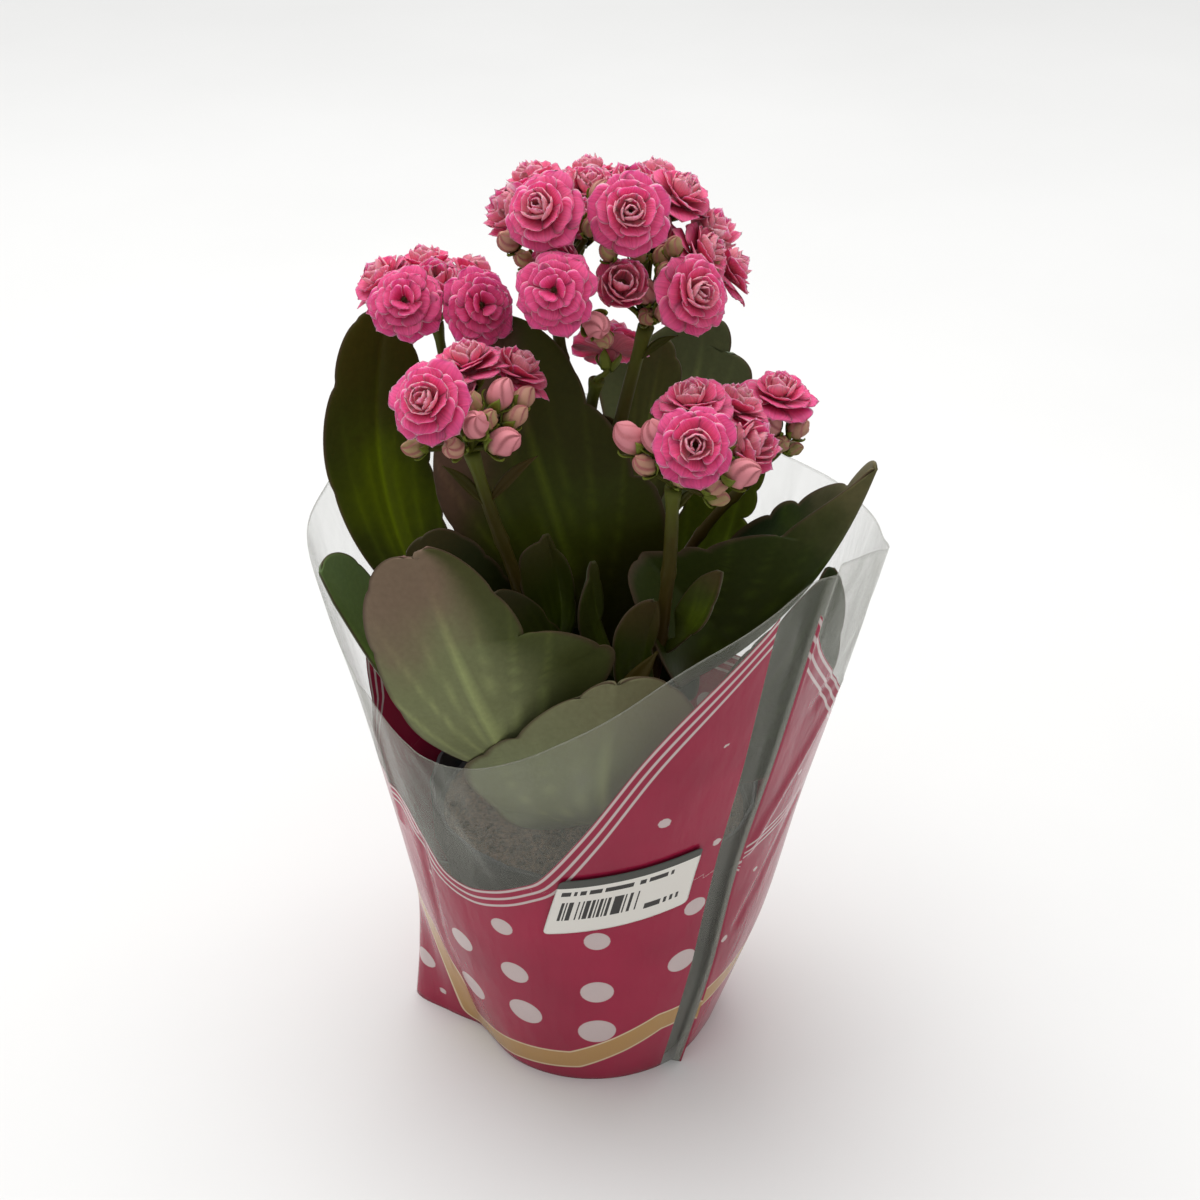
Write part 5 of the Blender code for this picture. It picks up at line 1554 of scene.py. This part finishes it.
@dataclass
class Leaf:
    """Fleshy crenate leaf: a closed blade with a sunken midrib, faint veins and a scalloped margin."""

    name: str
    plan: LeafPlan
    seed: int
    petiole_half: float = 2.2
    tip_half: float = 1.6
    tip_past: float = 12.0  # millimetres that the blade is longer than the midrib's span
    sunk: float = 0.6  # how deep its foot sits in the stem
    crenate: float = 0.1
    wave: float = 0.02
    groove: float = 0.45  # depth of the groove over the midrib
    thickness: float = 1.4
    foot_thickness: float = 2.5
    rows: int = 116
    columns: int = 41

    def half_width(self, share: Array, jitter: float) -> Array:
        """Half width: a narrow petiole, then a broad blade whose round lobes meet in narrow notches."""
        plan = self.plan
        ends = self.petiole_half + (self.tip_half - self.petiole_half) * share
        rising = np.clip(1 - np.clip(1 - share / plan.widest, 0, 1) ** 1.7, 0, 1) ** 0.6
        falling = np.clip(1 - np.clip((share - plan.widest) / (1 - plan.widest), 0, 1) ** 2.5, 0, 1) ** 0.5
        blade = (plan.half_width - ends) * np.where(share < plan.widest, rising, falling)
        notch = np.abs(np.cos(np.pi * (plan.lobes * share + jitter * share * (1 - share)))) ** 7
        opening = np.minimum(1, 6 * (1 - share)) * smooth_step(0.04, 0.3, share)
        return (ends + blade) * (1 - self.crenate * notch * opening)

    def margin(self, stations: tuple, turn: float, jitter: float) -> Array:
        """One margin as evenly spread points (share of the midrib, millimetres from it).

        Each scallop is its chord plus a bulge square to it, a flattened arch (4t(1-t))^0.7 high.

        Args:
            stations: Places along the margin, or none for the half width.
            turn: 1 for the side the leaf's left half lies on, -1 for the other.
            jitter: Shift of the plain lobes.

        Returns:
            A point for each row.
        """
        plan = self.plan
        length = math.dist(plan.midrib[-1], plan.midrib[0]) + self.tip_past
        if not stations:
            share = np.linspace(0, 1, 160)
            along = plan.petiole + (1 - plan.petiole) * share
            line = np.stack([along * length, turn * self.half_width(share, jitter)], axis=1)
        else:
            places = [np.array([along * length, off]) for along, off, _ in stations]
            pieces = [places[0][None]]
            t = np.linspace(0, 1, 25)[1:, None]
            for start, end, (_, _, bulge) in zip(places[:-1], places[1:], stations[1:]):
                chord = end - start
                square = np.array([-chord[1], chord[0]]) * turn
                pieces.append(start + chord * t + square * bulge * (4 * t * (1 - t)) ** 0.7)
            line = np.concatenate(pieces)
        line = np.concatenate([[[0.0, turn * self.petiole_half]], line])
        run = np.concatenate([[0], np.cumsum(np.linalg.norm(np.diff(line, axis=0), axis=1))])
        even = np.linspace(0, run[-1], self.rows)
        return np.stack([np.interp(even, run, line[:, 0]) / length, np.interp(even, run, line[:, 1])], axis=1)

    def surface(self, along: Array, off: Array) -> tuple[Array, Array]:
        """Points of the leaf's curved sheet and the way it faces.

        The sheet is the midrib's Bezier, carried on straight past both ends, plus a step to the side that
        leans by the fold: it rises as the distance to the power 1.3.

        Args:
            along: Share of the midrib.
            off: Millimetres from it, in rows that share the same shape.

        Returns:
            Points and unit vectors square to the sheet at the midrib.
        """
        plan = self.plan
        shoot = STEMS[plan.stem][0]
        low, high = shoot.points[0][2], shoot.points[-1][2]
        share = (plan.foot_z - low) / (high - low)
        out = heading_vector(plan.heading) * (shoot.radius(share) - self.sunk)
        foot = shoot.path(np.array([share]))[0] + out
        a, b, c, d = (np.array(p, float) for p in (foot, *plan.midrib))
        t = np.clip(along, 0, 1)[..., None]
        s = 1 - t
        line = a * s**3 + b * 3 * s * s * t + c * 3 * s * t * t + d * t**3
        line = line + np.minimum(along, 0)[..., None] * 3 * (b - a)
        line = line + np.maximum(along - 1, 0)[..., None] * 3 * (d - c)
        tangent = unit((b - a) * s * s + (c - b) * 2 * s * t + (d - c) * t * t)
        side = unit(np.cross(tangent, np.array(plan.faces, float)))
        up = np.cross(side, tangent)
        rise = math.radians(plan.fold) * np.clip((along - plan.petiole) * 4, 0, 1)
        lift = np.abs(off) * (np.abs(off) / plan.half_width) ** 0.3 * np.sin(rise)
        return line + side * (off * np.cos(rise))[..., None] + up * lift[..., None], up

    def build(self) -> bpy.types.Object:
        """Spread the rows between both margins, lay them on the sheet, then groove and thicken it."""
        plan = self.plan
        rng = np.random.default_rng(self.seed)
        jitters = rng.uniform(-0.6, 0.6, 2)
        minus = self.margin(plan.minus, -1.0, jitters[0])
        plus = self.margin(plan.plus, 1.0, jitters[1])
        columns = np.sin(np.linspace(-1, 1, self.columns) * math.pi / 2)
        tip = max(minus[-1, 0], plus[-1, 0])
        middle = np.maximum.accumulate(np.minimum((minus[:, 0] + plus[:, 0]) / 2, tip))
        quarter = (plus[:, 1] - minus[:, 1]) / 4
        centre = np.stack([middle, np.clip(0.0, minus[:, 1] + quarter, plus[:, 1] - quarter)], axis=1)
        v = columns[None, :, None]
        flat = (1 - np.abs(v)) * centre[:, None] + np.abs(v) * np.where(v < 0, minus[:, None], plus[:, None])
        along, off = flat[..., 0], flat[..., 1]
        across = np.broadcast_to(columns, along.shape)
        line, up = self.surface(along, off)
        share = (along - plan.petiole) / (1 - plan.petiole)
        blade = smooth_step(0.0, 0.3, share)
        waves = np.sin(along * 15 + rng.uniform(0, 6) + np.where(across < 0, 1.3, 0.0)) * np.abs(across) ** 3
        waves = waves + 0.5 * np.sin(off / 5.0 + along * 9) * across**2
        groove = -self.groove * np.exp(-((off / 1.3) ** 2)) * blade
        middle_line = line + up * (waves * self.wave * plan.half_width * blade + groove)[..., None]
        veins = self.veins(share, off)
        towards_foot = (self.foot_thickness - self.thickness) * smooth_step(0.15, -0.2, share)
        thick = (self.thickness + towards_foot) * np.clip(1 - across**8, 0.1, 1) ** 0.5
        thick = thick + 0.3 * veins * blade
        points, quads, under = lens(middle_line, thick)
        shapes = Shapes()
        shapes.add(
            points,
            quads,
            along=both_faces(share),
            across=both_faces(across),
            side=under,
            vein=both_faces(veins * blade),
        )
        nodes = () if plan.loose else (f"leaf_{self.name}",)
        return shapes.piece(f"blade_{self.name}", plan.finish.material(), nodes)

    def veins(self, share: Array, off: Array) -> Array:
        """Raised veins: the midrib, and three on each side that fan from near the petiole."""
        wide = self.plan.half_width
        rib = np.exp(-((off / 0.9) ** 2)) * smooth_step(1.0, 0.6, share)
        fan = np.zeros_like(off)
        for reach, start in ((1.0, 0.0), (0.62, 0.06), (0.3, 0.14)):
            course = wide * reach * np.clip(share - start, 0, 2) ** 0.75 * 1.15
            vein = np.exp(-(((np.abs(off) - course) / 0.8) ** 2)) * smooth_step(start, start + 0.12, share)
            fan = np.maximum(fan, vein * smooth_step(0.95, 0.45, share))
        return np.clip(np.maximum(rib, 0.6 * fan), 0, 1)


@dataclass
class Studio:
    """Plain pale floor, soft light and the photograph's viewpoint."""

    eye: tuple = (0.002, -0.550, 0.495)
    below_level: float = 31.2  # degrees that the camera looks down
    lens_mm: float = 63.6
    level: float = 0.42  # light of the horizon at the sides
    above: float = 0.75  # what the zenith adds
    behind: float = 0.3  # what the back adds and the front lacks
    # name, place, size in metres and watts
    lamps: tuple = (
        ("roof_lamp", (-0.15, 0.3, 1.4), 1.2, 13.0),
        ("front_lamp", (-0.5, -1.1, 0.8), 0.7, 0.4),
    )

    def floor(self) -> None:
        """Lay a wide pale floor under the pot."""
        mesh = bpy.data.meshes.new("studio_floor")
        corners = [(-4, -4, 0), (4, -4, 0), (4, 4, 0), (-4, 4, 0)]
        mesh.from_pydata(corners, [], [(0, 1, 2, 3)])
        finish = GroundFinish("floor_paper", "#dededd", "#e2e2e1", 3.0, 0.00001, 0.9)
        mesh.materials.append(finish.material())
        floor = bpy.data.objects.new("studio_floor", mesh)
        bpy.context.scene.collection.objects.link(floor)

    def lights(self) -> None:
        """Hang large soft lamps above and behind, under a sky bright overhead and dim at the front."""
        scene = bpy.context.scene
        scene.view_settings.view_transform = "Standard"
        world = bpy.data.worlds.new("studio_air")
        world.use_nodes = True
        tree = world.node_tree
        place = node(tree, "ShaderNodeTexCoord", {}).outputs["Generated"]
        axes = node(tree, "ShaderNodeSeparateXYZ", {}, {0: place})
        behind = node(tree, "ShaderNodeMath", {"operation": "MULTIPLY", 1: self.behind}, {0: axes.outputs[1]})
        settings = {"operation": "MULTIPLY_ADD", 1: self.above}
        above = node(tree, "ShaderNodeMath", settings, {0: axes.outputs[2], 2: behind.outputs[0]})
        settings = {"operation": "ADD", 1: self.level, "use_clamp": True}
        level = node(tree, "ShaderNodeMath", settings, {0: above.outputs[0]})
        tree.nodes["Background"].inputs["Color"].default_value = (1.0, 1.0, 1.0, 1.0)
        tree.links.new(level.outputs[0], tree.nodes["Background"].inputs["Strength"])
        scene.world = world
        for name, place, size, power in self.lamps:
            light = bpy.data.lights.new(name, "AREA")
            light.size = size
            light.energy = power
            lamp = bpy.data.objects.new(name, light)
            lamp.location = place
            lamp.rotation_euler = (Vector((0, 0, 0.16)) - Vector(place)).to_track_quat("-Z", "Y").to_euler()
            scene.collection.objects.link(lamp)

    def camera(self) -> None:
        """Set the camera at the photograph's viewpoint."""
        data = bpy.data.cameras.new("photo_camera")
        data.lens = self.lens_mm
        data.sensor_width = 36.0
        data.clip_start = 0.01
        camera = bpy.data.objects.new("photo_camera", data)
        camera.location = self.eye
        camera.rotation_euler = (math.radians(90 - self.below_level), 0, 0)
        bpy.context.scene.collection.objects.link(camera)
        bpy.context.scene.camera = camera


def blooms_near(
    place: BloomPlace, places: dict[str, BloomPlace], apart: float = 29.0
) -> tuple[BloomPlace, ...]:
    """Other blooms whose middles lie nearer than this to a bloom, in millimetres."""
    return tuple(o for o in places.values() if o is not place and math.dist(o.at, place.at) < apart)


def main() -> None:
    """Build the plant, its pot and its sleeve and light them."""
    logging.basicConfig(level=logging.INFO, format="%(name)s %(message)s")
    studio = Studio()
    studio.camera()
    studio.floor()
    studio.lights()
    sleeve = FilmSleeve()
    sleeve.build()
    PriceLabel(sleeve).build()
    PottingMix().build()
    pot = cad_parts["pot"]
    plastic = GroundFinish("moulded_pot_plastic", "#1c1d20", "#25262a", 1500.0, 0.00005, 0.45)
    pot.data.materials.clear()
    pot.data.materials.append(plastic.material())
    green = StalkFinish().material()
    for stem in StemName:
        FlowerStalks(stem).build(green)
    for k, (name, plan) in enumerate(LEAVES.items()):
        Leaf(name, plan, seed=20 + k).build()
    pink = PetalFinish().material()
    places = {
        f"{title}_{k + 1}": place for title, head in HEADS.items() for k, place in enumerate(head.blooms)
    }
    for k, (name, place) in enumerate(places.items()):
        Bloom(name, place, blooms_near(place, places), (f"bloom_{name}",), seed=100 + k).build(pink)
    for title, head in HEADS.items():
        for k, place in enumerate(head.fillers):
            Bloom(f"{title}_filler_{k + 1}", place, blooms_near(place, places), seed=200 + k).build(pink)


if __name__ == "__main__":
    main()
